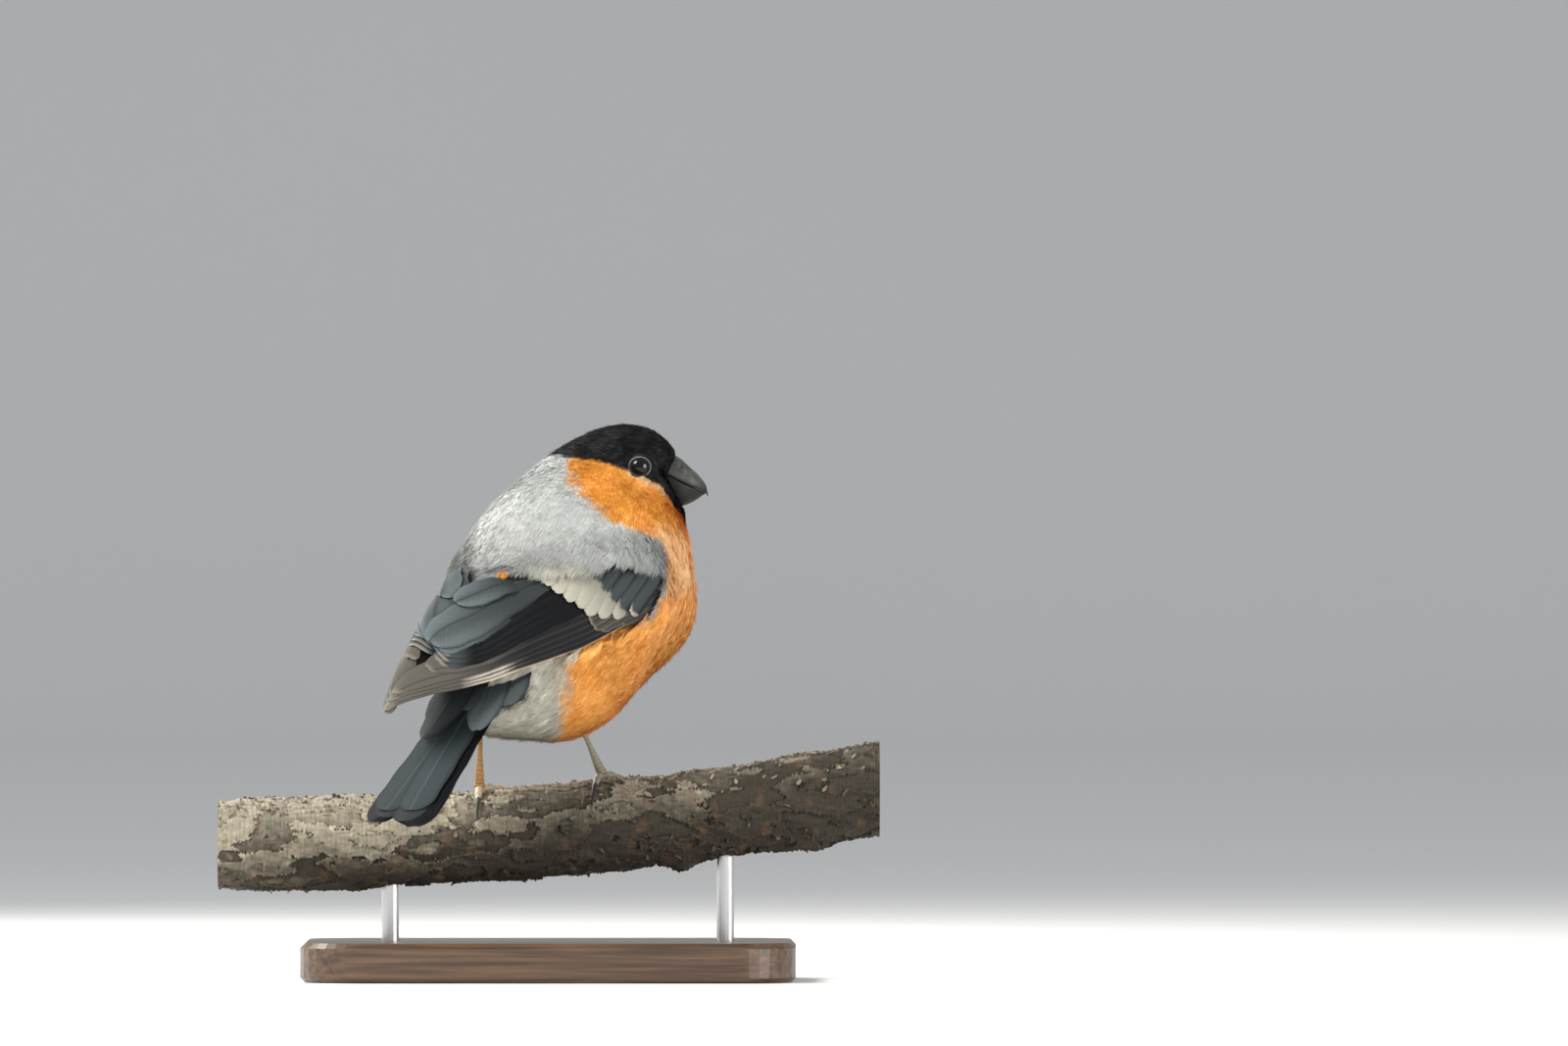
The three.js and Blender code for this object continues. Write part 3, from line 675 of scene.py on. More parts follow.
def skin(material):
    """The skin's piece. Returns its points and faces, for the feathers to grow on."""
    n = SKIN_CELLS
    side = np.linspace(0, 1, n + 1)
    u, v = [a.ravel() for a in np.meshgrid(side, side, indexing="ij")]
    ways = unfolded(u, v)
    _, first, joined = np.unique(np.round(ways, 6), axis=0, return_index=True, return_inverse=True)
    joined = joined.ravel()
    ways = ways[first]
    points = SKIN_CENTRE + ways * reach(coat_ground, SKIN_CENTRE, ways)[:, None]
    for _ in range(3):
        points = settle(points, -coat_depth(points) - SKIN_BELOW - socket(points))
    faces = grid_faces(n + 1, n + 1)
    uv = np.stack([u, v], axis=1)[faces.ravel()]
    faces = joined[faces]
    colour = plumage_colour(points) * SKIN_TONE
    piece = mesh_object("skin", points, faces, material, colour, uv, "OFBake")
    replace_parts(piece, "head", "neck", "torso")
    return points, faces


# Wings: the chart that the feathers are laid on, as in the solids
WING_AXIS = unit(WING_TO - WING_FROM)
WING_OUT = unit(np.array([-WING_AXIS[1], WING_AXIS[0], 0.0]))
WING_UP = np.cross(WING_AXIS, WING_OUT)


def wing_ray(side, s, angle):
    """Start, way and length of the rays that reach the wing's ground."""
    turn = np.radians(angle)[:, None]
    way = -side * np.cos(turn) * WING_OUT + np.sin(turn) * WING_UP
    start = WING_FROM + s[:, None] * WING_AXIS
    return start, way, reach(wing_ground, start, way, 45.0)


def wing_point(side, s, angle, lift):
    """A point over the wing's ground, s along the wing and an angle round it."""
    s, angle, lift = [np.asarray(a, float).ravel() for a in np.broadcast_arrays(s, angle, lift)]
    start, way, r = wing_ray(side, s, angle)
    return start + way * (r + lift)[:, None]


def wing_place(side, points):
    """The s and angle of points on a wing's chart."""
    d = points - WING_FROM
    angle = np.degrees(np.arctan2(d @ WING_UP, d @ (-side * WING_OUT)))
    return d @ WING_AXIS, angle


def tucked(side, s, angle):
    """How far the left shoulder's feathers are pulled in."""
    return SHOULDER_TUCK * (1 - smooth(s, 30, 48)) * smooth(angle, 25, 50) * (side > 0)


# The bare part of a wing on its chart, the feathers' lines and the lower edge of the grey plumage
LOWER_EDGE = [[11, 8], [13, 1], [17, -5], [20, -9], [27, -9], [37, -4], [45, 4], [55, 16], [65, 41],
              [75, 63], [80, 82]]
UPPER_EDGE = [[11, 8], [14, 12], [18, 20], [21, 28], [26, 31], [30, 38], [35, 46], [36, 54], [37, 60],
              [40, 70], [43, 76], [45, 84], [49.5, 92], [50.5, 112], [82, 112]]
INNER_LINE = [[20, 20], [30, 30], [37, 39], [43, 46], [48, 53], [55, 60], [61, 66], [66, 69], [72, 75],
              [81, 90]]
OUTER_LINE = [[14, -8], [20, -7], [27, -5], [32, -4], [37, 0], [41, 4], [45, 8], [50, 12], [55, 20],
              [60, 32], [65, 45], [70, 57], [75, 67], [81, 80]]
GREY_EDGE = [[-12, 40], [-6, 30], [-1, 18], [2, 13], [6, 6], [11, 0], [14, -6], [20, -8], [30, -3],
             [37, 2], [45, 10], [60, 34], [80, 90]]
LEFT_WING_TURN = 20  # degrees that the left wing's feathers lie further over the back


def bare_wing(side, points):
    """How far in degrees a point lies inside the part of a wing that body plumage leaves bare."""
    s, angle = wing_place(side, points)
    inside = np.minimum(angle - table(LOWER_EDGE, s), table(UPPER_EDGE, s) - angle)
    return np.where((s > 11) & (s < 82), inside, -90)


def plumage_swell(points):
    """How far the body plumage stands up over the roots of the wings' feathers."""
    total = np.zeros(len(points))
    for side in (-1, 1):
        s, angle = wing_place(side, points)
        near = smooth(table(UPPER_EDGE, s) - angle, -36, -8) * smooth(s, 2, 12) * (1 - smooth(s, 44, 52))
        over = angle > table(OUTER_LINE, s) - 4
        total = np.maximum(total, near * over * (2.8 - tucked(side, s, angle)))
    return total + 1.3 * bell(size(points - CHIN) / 2.4)


def vane_profile(t, blunt, foot):
    """Width along a vane, from its foot to a tip that starts to round at blunt."""
    past = np.maximum(t - blunt, 0) / (1.004 - blunt)
    return mix(foot, 1.0, smooth(t, 0, 0.3)) * np.sqrt(np.maximum(1 - past**2, 0.0))


# Rows along a vane, and places of its columns from one edge to the other
VANE_STEPS = 22
ACROSS = np.array([-1, -0.82, -0.6, -0.4, -0.24, -0.13, -0.06, 0, 0.06, 0.13, 0.28, 0.5, 0.75, 1])


def vane_grid(feather):
    """Place along and across a vane, with columns close together at its shaft."""
    t = 1 - (1 - np.linspace(0, 1, VANE_STEPS + 1)) ** 1.5
    shaft = feather.get("shaft", 0.0)
    v = np.where(ACROSS < 0, mix(shaft, -1, -ACROSS), mix(shaft, 1, ACROSS))
    return np.meshgrid(t, v, indexing="ij")


def add_vane(heap, feather, place, thick):
    """One closed vane. place(t, x, height) puts its points, and its own colour paints them."""
    t, v = vane_grid(feather)
    width = feather["width"] * vane_profile(t, feather["blunt"], feather.get("foot", 0.62))
    ragged = 1 + 0.035 * np.sin(37 * t + feather["seed"]) * smooth(np.abs(v), 0.7, 1)
    x = v * width / 2 * ragged
    from_shaft = x - feather.get("shaft", 0.0) * width / 2
    crown = feather.get("crown", 0.2) * (1 - v**2) * smooth(t, 0, 0.2)
    shaft = 0.09 * bell(from_shaft / 0.2) * (1 - smooth(t, 0.8, 1))
    edge = thick * mix(0.4, 1, 1 - smooth(np.abs(v), 0.75, 1)) * mix(1, 0.6, t)
    top = place(t, x, crown + shaft)
    bottom = place(t, x, crown - edge)
    paint = feather["colour"](t.ravel(), v.ravel(), from_shaft.ravel())
    grain = np.stack([from_shaft.ravel(), (t * feather["length"]).ravel()], axis=1)
    # The underside of each vane is painted darker than its top, a painted shade.
    heap.add(np.concatenate([top, bottom]), sheet_faces(*t.shape), np.concatenate([paint, paint * 0.75]),
             np.concatenate([grain, grain]))


def on_wing(side, feather):
    """Lays a vane on a wing's chart, along a curve through its root, middle and tip."""
    first, last = feather["s"]
    a, b, c = feather["angle"]

    def place(t, x, height):
        rows = t[:, 0]
        s = mix(first, last, rows)
        middle = 2 * a * (rows - 0.5) * (rows - 1) + 4 * b * rows * (1 - rows) + 2 * c * rows * (rows - 0.5)
        sunk = tucked(side, s, middle)
        if side > 0 and "turned" in feather:
            turn = LEFT_WING_TURN * smooth(middle, 35, 75) + 12 * smooth(s, 56, 68) * smooth(middle, 40, 70)
            middle = middle + turn * (1 - 0.8 * smooth(s, 63, 82)) + feather["turned"]
            sunk = sunk + 0.7 * smooth(middle, 60, 90)
            x = x * np.where(x > 0, feather["under"], 1.0)
        radius = wing_ray(side, s, middle)[2]
        angle = middle[:, None] + np.degrees(x / np.maximum(radius, 8)[:, None])
        rise = smooth(rows, 0, feather.get("rise", 0.5))
        top = (mix(feather["lift"][0], feather["lift"][1], rise) - sunk)[:, None] - feather["slope"] * x
        return wing_point(side, s[:, None] + 0 * x, angle, top + height)

    return place


def with_shaft(colour, from_shaft, tone=NIGHT, amount=0.8):
    return faded(colour, tone, amount * bell(from_shaft / 0.16))


def primary_colour(t, v, from_shaft):
    colour = faded(NIGHT * 1.5, BROWN * 0.62, smooth(t, 0.45, 0.8))
    colour = faded(colour, BROWN * 0.3, smooth(-v, 0.88, 0.98) * 0.8)
    colour = with_shaft(colour, from_shaft, BROWN * 0.3)
    return faded(colour, FRINGE * 0.55, smooth(t, 0.975, 0.995) * 0.7)


def outer_primary_colour(t, v, from_shaft):
    """One of the lowest feathers of the closed wing, with a pale dash on its edge."""
    colour = primary_colour(t, v, from_shaft)
    dash = smooth(t, 0.48, 0.55) * (1 - smooth(t, 0.66, 0.74))
    return faded(colour, FRINGE * 1.2, smooth(-v, 0.72, 0.86) * dash)


def lowest_primary_colour(t, v, from_shaft):
    """The lowest feather of all, with a pale line all along its edge."""
    colour = outer_primary_colour(t, v, from_shaft)
    return faded(colour, EDGE_LINE, smooth(-v, 0.88, 0.95) * (1 - smooth(t, 0.6, 0.7)))


def secondary_colour(t, v, from_shaft):
    gloss = bell((v + 0.62) / 0.22) * smooth(t, 0.2, 0.7)
    colour = faded(NIGHT * 0.6, SLATE * 0.12, gloss)
    colour = faded(colour, SLATE * 0.5, smooth(t, 0.82, 0.98))
    colour = with_shaft(colour, from_shaft)
    return faded(colour, FRINGE * 0.7, smooth(t, 0.975, 0.995) * 0.8)


def tertial_colour(t, v, from_shaft):
    light = smooth(t, 0.3, 0.9) * (0.45 + 0.55 * smooth(np.abs(v), 0.0, 0.7))
    colour = faded(SLATE * 0.30, SLATE * 1.05, light)
    colour = faded(colour, NIGHT, smooth(-v, 0.86, 1.0) * 0.7)
    colour = faded(colour, SLATE * 1.3, smooth(t, 0.93, 1.0) * 0.5 + smooth(v, 0.9, 0.98) * 0.4)
    return with_shaft(colour, from_shaft, NIGHT, 0.5)


def bar_colour(start):
    """Black at its base, white from a share of its length on."""
    def colour(t, v, from_shaft):
        notch = t + 0.10 * np.abs(v) - 0.03
        black = faded(NIGHT * 1.5, SLATE * 0.46, 1 - smooth(np.abs(v), 0.3, 0.95))
        white = faded(WHITE * 0.52, WHITE * 0.8, smooth(t, start, 1.0))
        return faded(black, white, smooth(notch, start - 0.015, start + 0.03))
    return colour


def hand_covert_colour(t, v, from_shaft):
    colour = faded(SLATE * 0.5, BROWN * 0.42, smooth(t, 0.2, 0.8))
    colour = with_shaft(colour, from_shaft, NIGHT, 0.6)
    return faded(colour, FRINGE * 0.6, smooth(np.abs(v), 0.86, 0.97) * 0.8 + smooth(t, 0.96, 1.0) * 0.8)


def tertials():
    """The three innermost flight feathers, which lie over the rest."""
    shared = {"slope": 0.12, "crown": 0.3, "colour": tertial_colour, "turned": 0, "under": 1.0}
    return [
        {**shared, "s": (32, 63.5), "angle": (38, 57, 70), "lift": [0.9, 2.2], "width": 5.6, "blunt": 0.86,
         "under": 2.0},
        {**shared, "s": (32, 64), "angle": (43, 61, 75.5), "lift": [1.0, 2.6], "width": 6.8,
         "blunt": 0.82, "shaft": 0.2, "under": 2.6},
        {**shared, "s": (34, 52.5), "angle": (50, 66, 77.5), "lift": [-1.4, 3.0], "width": 5.4,
         "blunt": 0.6, "rise": 0.5, "turned": -6, "under": 1.6},
    ]


def flight_feathers():
    """Secondaries and primaries. Each shows as a strip below the one before it."""
    feathers = []
    tips = [62.3, 63.2, 64.2, 65.4, 68.5, 77.4, 79.0, 80.2, 80.8]
    paints = [secondary_colour] * 4 + [primary_colour] * 2 + [outer_primary_colour] * 2
    for i, tip in enumerate(tips):
        share = ((i + 1) / len(tips)) ** 0.9
        root = mix(28, 18, share)
        along = (root, (root + tip) / 2, tip)
        width = mix(5.4, 4.6, share)
        half = math.degrees(width / 2 / 21)
        angle = [mix(table(INNER_LINE, s), table(OUTER_LINE, s), share) + half for s in along]
        feathers.append({
            "s": (root, tip), "angle": angle, "lift": [0.9, mix(2.1, 1.5, share)], "width": width,
            "slope": 0.22, "shaft": -0.4, "blunt": 0.90 if i < 4 else 0.86, "turned": 0,
            "under": 3.0 if i < 4 else 1.5,
            "colour": lowest_primary_colour if i == len(tips) - 1 else paints[i],
        })
    return feathers[::-1]


def greater_coverts():
    """The feathers of the wing bar: tip, where each one's white begins, and how high its root lies."""
    rows = [(22, 1, 0.93, 1.3), (26, 5, 0.80, 1.3), (29, 10, 0.64, 1.2), (31.5, 16, 0.48, 1.0),
            (32.5, 23, 0.42, 0.7), (34, 30, 0.34, 0.3), (35, 38, 0.2, -0.1), (35.5, 45, 0.1, -0.4)]
    return [
        {"s": (tip - 12, tip), "angle": (turn + 8, turn + 5, turn), "lift": [low, 2.4], "rise": 1.0,
         "width": 4.3, "slope": 0.16, "blunt": 0.8, "crown": 0.25, "colour": bar_colour(white)}
        for tip, turn, white, low in rows
    ]


def hand_coverts():
    """Primary coverts and the alula, at the front of the closed wing."""
    shared = {"slope": 0.14, "shaft": -0.3, "blunt": 0.93, "rise": 0.6, "colour": hand_covert_colour}
    rows = [((13, 31), (6, 8, 9), 2.0, 3.2), ((12, 30.5), (1, 4, 5), 1.8, 3.4),
            ((11, 29), (-2, 0, 1.5), 1.6, 3.2), ((10, 24), (-5, -4, -2), 1.6, 2.6)]
    return [
        {**shared, "s": s, "angle": angle, "lift": [0.9, lift], "width": width}
        for s, angle, lift, width in rows
    ]


def wing(side, name, material):
    """All the vanes of one closed wing, in the place of its solid."""
    heap = Heap()
    for feather in flight_feathers() + tertials() + hand_coverts() + greater_coverts():
        feather["seed"] = rng.uniform(0, 6)
        feather["length"] = feather["s"][1] - feather["s"][0]
        add_vane(heap, feather, on_wing(side, feather), 0.26)
    piece = heap.make(f"{name}_feathers", material, sharp=45)
    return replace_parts(piece, name)


# Coat
BACKWARD = TAIL_FRAME[0]


def streaks(points):
    """Lighter and darker locks, longer the way the plumage lies."""
    across = points - 0.75 * (points @ BACKWARD)[:, None] * BACKWARD
    return fine_wobble(across) * 0.7 + wobble(across) * 0.5


def lie_of(points, normals):
    """The way the plumage lies: away from the bill on the head, and towards the tail."""
    from_bill = unit(points - BILL_ROOT - np.array([2.0, 0, 0]))
    head = 1 - smooth(size(points - HEAD_AT), 10, 26)
    way = from_bill * head[:, None] + BACKWARD * (1 - 0.75 * head)[:, None]
    sway = np.stack([wobble(points), wobble(points + 31), wobble(points - 17)], axis=1)
    way = way + (0.16 - 0.06 * head)[:, None] * sway
    return unit(way - normals * dot(way, normals)[:, None])


def scattered(skin_mesh, cell, keep):
    """Roots spread evenly over the skin, one for each small cell that holds any."""
    points, faces = skin_mesh
    corners = points[faces]
    across = np.cross(corners[:, 2] - corners[:, 0], corners[:, 3] - corners[:, 1])
    area = np.linalg.norm(across, axis=1) / 2
    chosen = rng.choice(len(faces), int(5 * area.sum() / cell**2), p=area / area.sum())
    a, b = rng.random((2, len(chosen), 1))
    low = mix(corners[chosen, 0], corners[chosen, 1], a)
    high = mix(corners[chosen, 3], corners[chosen, 2], a)
    roots = mix(low, high, b)
    roots = roots[keep(roots)]
    _, first = np.unique(np.floor(roots / cell).astype(int), axis=0, return_index=True)
    roots = settle(roots[np.sort(first)], 0.0)
    return roots[shows(roots)]


def tuft_sizes(points):
    """Length, half width across the tuft and half width of a blade, smallest round bill and eyes."""
    near = face_distance(points)
    u = points[:, 2] - CHEST[2]
    body = mix(4.8, 4.0, smooth(u, 8, 30))
    length = mix(1.2, body, smooth(near, 3, 15))
    wide = mix(0.24, 0.74, smooth(near, 4, 20))
    blade = mix(0.048, 0.088, smooth(near, 4, 20))
    return length, wide, blade


def make_tufts(roots, blades):
    """Tufts of thin blades that rise from the skin and lie along the body, as mesh arrays."""
    n = len(roots)
    swell = plumage_swell(roots)
    normals = normal_at(roots)
    lie = lie_of(roots, normals)
    length, wide, blade = tuft_sizes(roots)
    length = length * rng.uniform(0.8, 1.2, n)
    depth = coat_depth(roots)
    start = settle(roots, swell - depth)
    middle = settle(start + lie * (0.5 * length)[:, None], plumage_swell(start) - 0.12 * depth)
    end_swell = np.maximum(plumage_swell(start + lie * length[:, None]), swell * 0.9)
    stray = (rng.random(n) < STRAYS) * rng.uniform(0.2, 0.8, n) * np.minimum(length / 3, 1)
    end = settle(start + lie * length[:, None], end_swell + stray + rng.uniform(-0.15, 0.2, n) * depth)
    side = np.cross(normals, lie)

    spread = (np.arange(blades) - (blades - 1) / 2) / (blades / 2)
    a = spread[None] + rng.uniform(-0.5, 0.5, (n, blades)) / blades
    roll = rng.normal(0, 0.28, (n, blades))
    flat = side[:, None] * np.cos(roll)[..., None] + normals[:, None] * np.sin(roll)[..., None]
    half = flat * (blade[:, None] * rng.uniform(0.75, 1.25, (n, blades)))[..., None]
    reached = 1 - 0.3 * a**2 + rng.uniform(-0.22, 0.1, (n, blades))
    curl = rng.normal(0, 0.08, (n, blades)) * length[:, None]
    out = rng.normal(0, 0.035, (n, blades)) * length[:, None]
    low = start[:, None] + side[:, None] * (0.5 * a * wide[:, None])[..., None]
    mid = middle[:, None] + side[:, None] * (a * wide[:, None] + 0.25 * curl)[..., None]
    tip = middle[:, None] + (end - middle)[:, None] * reached[..., None]
    aside = side[:, None] * (1.15 * a * wide[:, None] + curl)[..., None]
    tip = tip + aside + normals[:, None] * out[..., None]
    points = np.stack([low - half, low + half, mid - 0.9 * half, mid + 0.9 * half, tip], axis=2)

    base = plumage_colour(roots + 0.75 * lie * length[:, None])
    contrast = 1 - 0.45 * back_share(roots)[:, None]
    tone = (0.2 * streaks(roots) + rng.normal(0, 0.07, n))[:, None] + rng.normal(0, 0.10, (n, blades))
    tone = 1 + contrast * tone
    # Each blade is darker at its root and a little lighter at its tip: partly the grey bases of the feathers,
    # partly a painted shade deep in the coat.
    along = 1 - contrast[..., None, None] * np.array([0.28, 0.28, 0.05, 0.05, -0.08])[:, None]
    colour = base[:, None, None] ** tone[..., None, None] * along * (1.6 - 0.6 * tone)[..., None, None]

    across = np.cross(flat, (tip - low))
    own = unit(across * np.sign(dot(across, normals[:, None]))[..., None])
    facing = unit(0.75 * normals[:, None] + 0.45 * own)
    facing = np.repeat(facing[:, :, None], 5, axis=2)

    corner = unwrapped(roots)[:, None, None] + np.zeros((n, blades, 5, 2))
    corner[..., 0] += (a[..., None] + np.array([-0.08, 0.08, -0.07, 0.07, 0])) * PATCH * 0.4
    corner[..., 1] += (np.array([0, 0, 0.5, 0.5, 1]) - 0.5) * PATCH
    first = 5 * np.arange(n * blades)[:, None, None]
    faces = first + np.array([[0, 3, 1], [0, 2, 3], [2, 4, 3]])
    return [a.reshape(-1, a.shape[-1]) for a in (points, faces, colour, corner, facing)]


def shows(points):
    """Leaves out the roots whose feathers would lie on the bare part of a wing, the bill or an eye."""
    normals = normal_at(points)
    lie = lie_of(points, normals)
    length, _, _ = tuft_sizes(points)
    low = points - coat_depth(points)[:, None] * normals
    hidden = np.zeros(len(points), bool)
    for side in (-1, 1):
        hidden |= bare_wing(side, points) > 0
        hidden |= bare_wing(side, points + lie * (0.9 * length)[:, None]) > 0
        for place, clear in ((low, 2.5), (points + lie * length[:, None], 2.45)):
            out, beside = from_eye(place, side)
            hidden |= (beside < clear) & (out > 0)
    f, l, u = in_frame(points, BILL["gape"], BILL_FRAME)
    return ~hidden & ~((f > -2.0) & (np.hypot(l / 4.6, u / 5.0) < 1))


def region_of(points):
    """The name of the part of the body that each point is on."""
    u = points[:, 2] - CHEST[2]
    back = back_share(points) > 0.5
    return np.where(u > 26, "head", np.where(back, "back", np.where(u > 6, "breast", "belly")))


def coat(material, skin_mesh, quick):
    """All the small feathers, in one piece for each region, or more where one grows too large."""
    def near_face(points):
        return face_distance(points) < FACE_REACH

    def beyond_face(points):
        return ~near_face(points)

    roots_of = {}
    for label, keep in (("face", near_face), ("body", beyond_face)):
        cell, quick_cell, _ = TUFTS[label]
        roots_of[label] = scattered(skin_mesh, quick_cell if quick else cell, keep)
    for label, roots in roots_of.items():
        blades = TUFTS[label][2]
        regions = region_of(roots)
        for region in sorted(set(regions)):
            chosen = roots[regions == region]
            parts = math.ceil(len(chosen) * 3 * blades / COAT_LIMIT)
            for part in range(parts):
                points, faces, colour, uv, facing = make_tufts(chosen[part::parts], blades)
                name = f"coat_{label}_{region}_{part + 1}"
                mesh_object(name, points, faces, material, colour, uv, "OFBake", normals=facing)


# Head: eyes, lids and bill
PUPIL = np.array([0.002, 0.002, 0.002])
IRIS = np.array([0.006, 0.004, 0.003])
BEADS = np.array([0.30, 0.29, 0.26])
# The lower half of the bill is painted much darker than the upper, a painted shade on its underside.
UPPER_HORN = np.array([0.058, 0.062, 0.054])
LOWER_HORN = np.array([0.014, 0.014, 0.010])


def round_grid(rows, sides, place):
    """A surface of rings. place(k, angle) gives the points of the ring at a share k."""
    k, angle = [a.ravel() for a in ring_grid(np.linspace(0, 1, rows), sides)]
    return place(k, angle), grid_faces(rows, sides, closed=True), k


# Rows of the lid: share of the way out, distance from the middle of the eye and height over it
LID = [[0, 1.62, 2.38], [0.2, 1.85, 2.42], [0.4, 2.1, 2.32], [0.6, 2.35, 2.18], [0.72, 2.55, 1.92],
       [0.86, 2.95, 1.40], [1, 3.4, 0.3]]
LID_BEADS = 34
LID_STRETCH = 1.06
LID_SLOPE = 0.5  # rise of the lids' outer edge towards the cheek


def beads(k):
    """1 on the pale ring of small beads along the lid's edge."""
    return bell((k - 0.6) / 0.045)


def eyes(ball_material, lid_material):
    """A glossy ball for each eye, and lids with a pale, beaded edge round it."""
    for side, key in ((-1, "r"), (1, "l")):
        centre, outward = EYES[side > 0]
        across, over = HEAD[0], HEAD[2]

        def ball(k, angle):
            polar = math.pi * np.clip(k, 0.002, 0.998)
            ring = np.cos(angle)[:, None] * across + np.sin(angle)[:, None] * over
            return centre + EYE["radius"] * (np.cos(polar)[:, None] * outward + np.sin(polar)[:, None] * ring)

        points, faces, k = round_grid(40, 48, ball)
        colour = faded(PUPIL, IRIS, smooth(k, 0.13, 0.15))
        piece = mesh_object(f"eyeball_{key}", points, faces, ball_material, colour)
        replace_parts(piece, f"eye_{key}")

        def lid(k, angle):
            ring = LID_STRETCH * np.cos(angle)[:, None] * across
            ring = ring + np.sin(angle)[:, None] / LID_STRETCH * over
            wide, height = hermite(k, LID, 1), hermite(k, LID, 2)
            to_cheek = ring @ unit(-0.5 * across - 0.85 * over)
            height = height + LID_SLOPE * wide * to_cheek * smooth(wide, 1.7, 2.3)
            from_middle = wide * size(ring)
            ball_height = np.sqrt(np.maximum(EYE["radius"] ** 2 - from_middle**2, 0))
            height = np.maximum(height, ball_height + 0.16 * smooth(from_middle, 1.7, 2.1))
            height = height + 0.14 * beads(k) * (1 + 0.5 * np.sin(LID_BEADS * angle))
            return centre + wide[:, None] * ring + height[:, None] * outward

        points, faces, k = round_grid(61, 6 * LID_BEADS, lid)
        colour = faded(BLACK * 0.7, BEADS, beads(k))
        mesh_object(f"eyelid_{key}", points, faces, lid_material, colour)


def mouth_line(f):
    """Height of the line of the mouth along the bill, which turns down at the tip."""
    return -0.25 * np.sin(math.pi * np.clip(f / 8, 0, 1)) - 0.75 * smooth(f, 7.6, 9.1)


def mandible(name, rows, up, material):
    """Half of the bill, arched outside and flat along the line of the mouth."""
    rings, sides = 60, 56
    k, j = np.meshgrid(np.linspace(0, 1, rings), np.arange(sides), indexing="ij")
    f = mix(rows[0][0], rows[-1][0], 1 - (1 - k) ** 1.5)
    height = hermite(f.ravel(), rows, 1).reshape(f.shape)
    half = hermite(f.ravel(), rows, 2).reshape(f.shape)
    turn = 2 * math.pi * j / sides
    arch = turn <= math.pi
    rise = np.where(arch, np.abs(np.sin(turn)) ** 0.85 * height, 0)
    across = np.cos(turn) * half
    edge = 0.12 * bell(rise / 0.35) * arch
    up_there = mouth_line(f) + up * (BILL["gap"] / 2 + rise)
    local = np.stack([f, across * (1 + edge / np.maximum(half, 0.3)), up_there], axis=-1).reshape(-1, 3)
    points = BILL["gape"] + local @ BILL_FRAME
    along, height_at = local[:, 0], np.abs(local[:, 2])
    shade = 1 + 0.3 * Ripple(1.9, 8)(points) + 0.2 * Ripple(0.8, 9)(points) - 0.5 * smooth(along, 5, 8.5)
    # Darker along the line of the mouth: a painted shade in the crease between the halves.
    shade = shade * mix(0.35, 1, smooth(height_at - np.abs(mouth_line(along)), 0.0, 0.7))
    base = UPPER_HORN if up > 0 else LOWER_HORN
    if up > 0:
        for side in (-1, 1):
            nostril = BILL["gape"] + np.array([0.9, 3.1 * side, 3.0]) @ BILL_FRAME
            near = bell(size(points - nostril) / 0.5)
            points = points - 0.4 * near[:, None] * BILL_FRAME[1] * side
            shade = shade * (1 - 0.85 * near)
    faces = grid_faces(rings, sides, closed=True)
    caps = np.array([[0, i, i + 1, i + 2] for i in range(1, sides - 2, 2)])
    last = (rings - 1) * sides
    faces = np.concatenate([faces, caps[:, ::-1], caps + last])
    piece = mesh_object(f"beak_{name}", points, faces, material, base * shade[:, None])
    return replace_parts(piece, f"{name}_bill")


# Tail
def on_tail(feather):
    """Lays a vane flat on the tail, turned about the tail's root."""
    turn = math.radians(feather["turn"])
    c, s = math.cos(turn), math.sin(turn)

    def place(t, x, height):
        f = t * feather["length"]
        up = feather["lift"] + height - feather.get("start", 0.0) * (1 - t) ** 2
        f, x, up = [np.ravel(a) for a in np.broadcast_arrays(f, x, up)]
        local = np.stack([f * c - x * s, f * s + x * c, up], axis=1)
        return TAIL["root"] + local @ TAIL_FRAME

    return place


def rectrix_colour(t, v, from_shaft):
    """One of the two tail feathers on top."""
    blue = smooth(t, 0.1, 0.8) * (1 - 0.8 * smooth(np.abs(v), 0.75, 1.0))
    colour = faded(NIGHT, SLATE * np.array([0.25, 0.30, 0.315]), blue)
    return with_shaft(colour, from_shaft, SLATE * 0.8, 0.5)


def hidden_rectrix_colour(t, v, from_shaft):
    return faded(NIGHT, SLATE * 0.2, smooth(t, 0.6, 1.0) * (1 - smooth(np.abs(v), 0.7, 1.0)))


def covert_colour(tone):
    """Black at the root and slate, as light as the tone, towards the tip."""
    def colour(t, v, from_shaft):
        return faded(NIGHT, SLATE * tone, smooth(t, 0.3, 0.95) * (1 - 0.7 * smooth(np.abs(v), 0.7, 1.0)))
    return colour


def vent_covert_colour(t, v, from_shaft):
    return faded(WHITE, WHITE * 0.9, t)


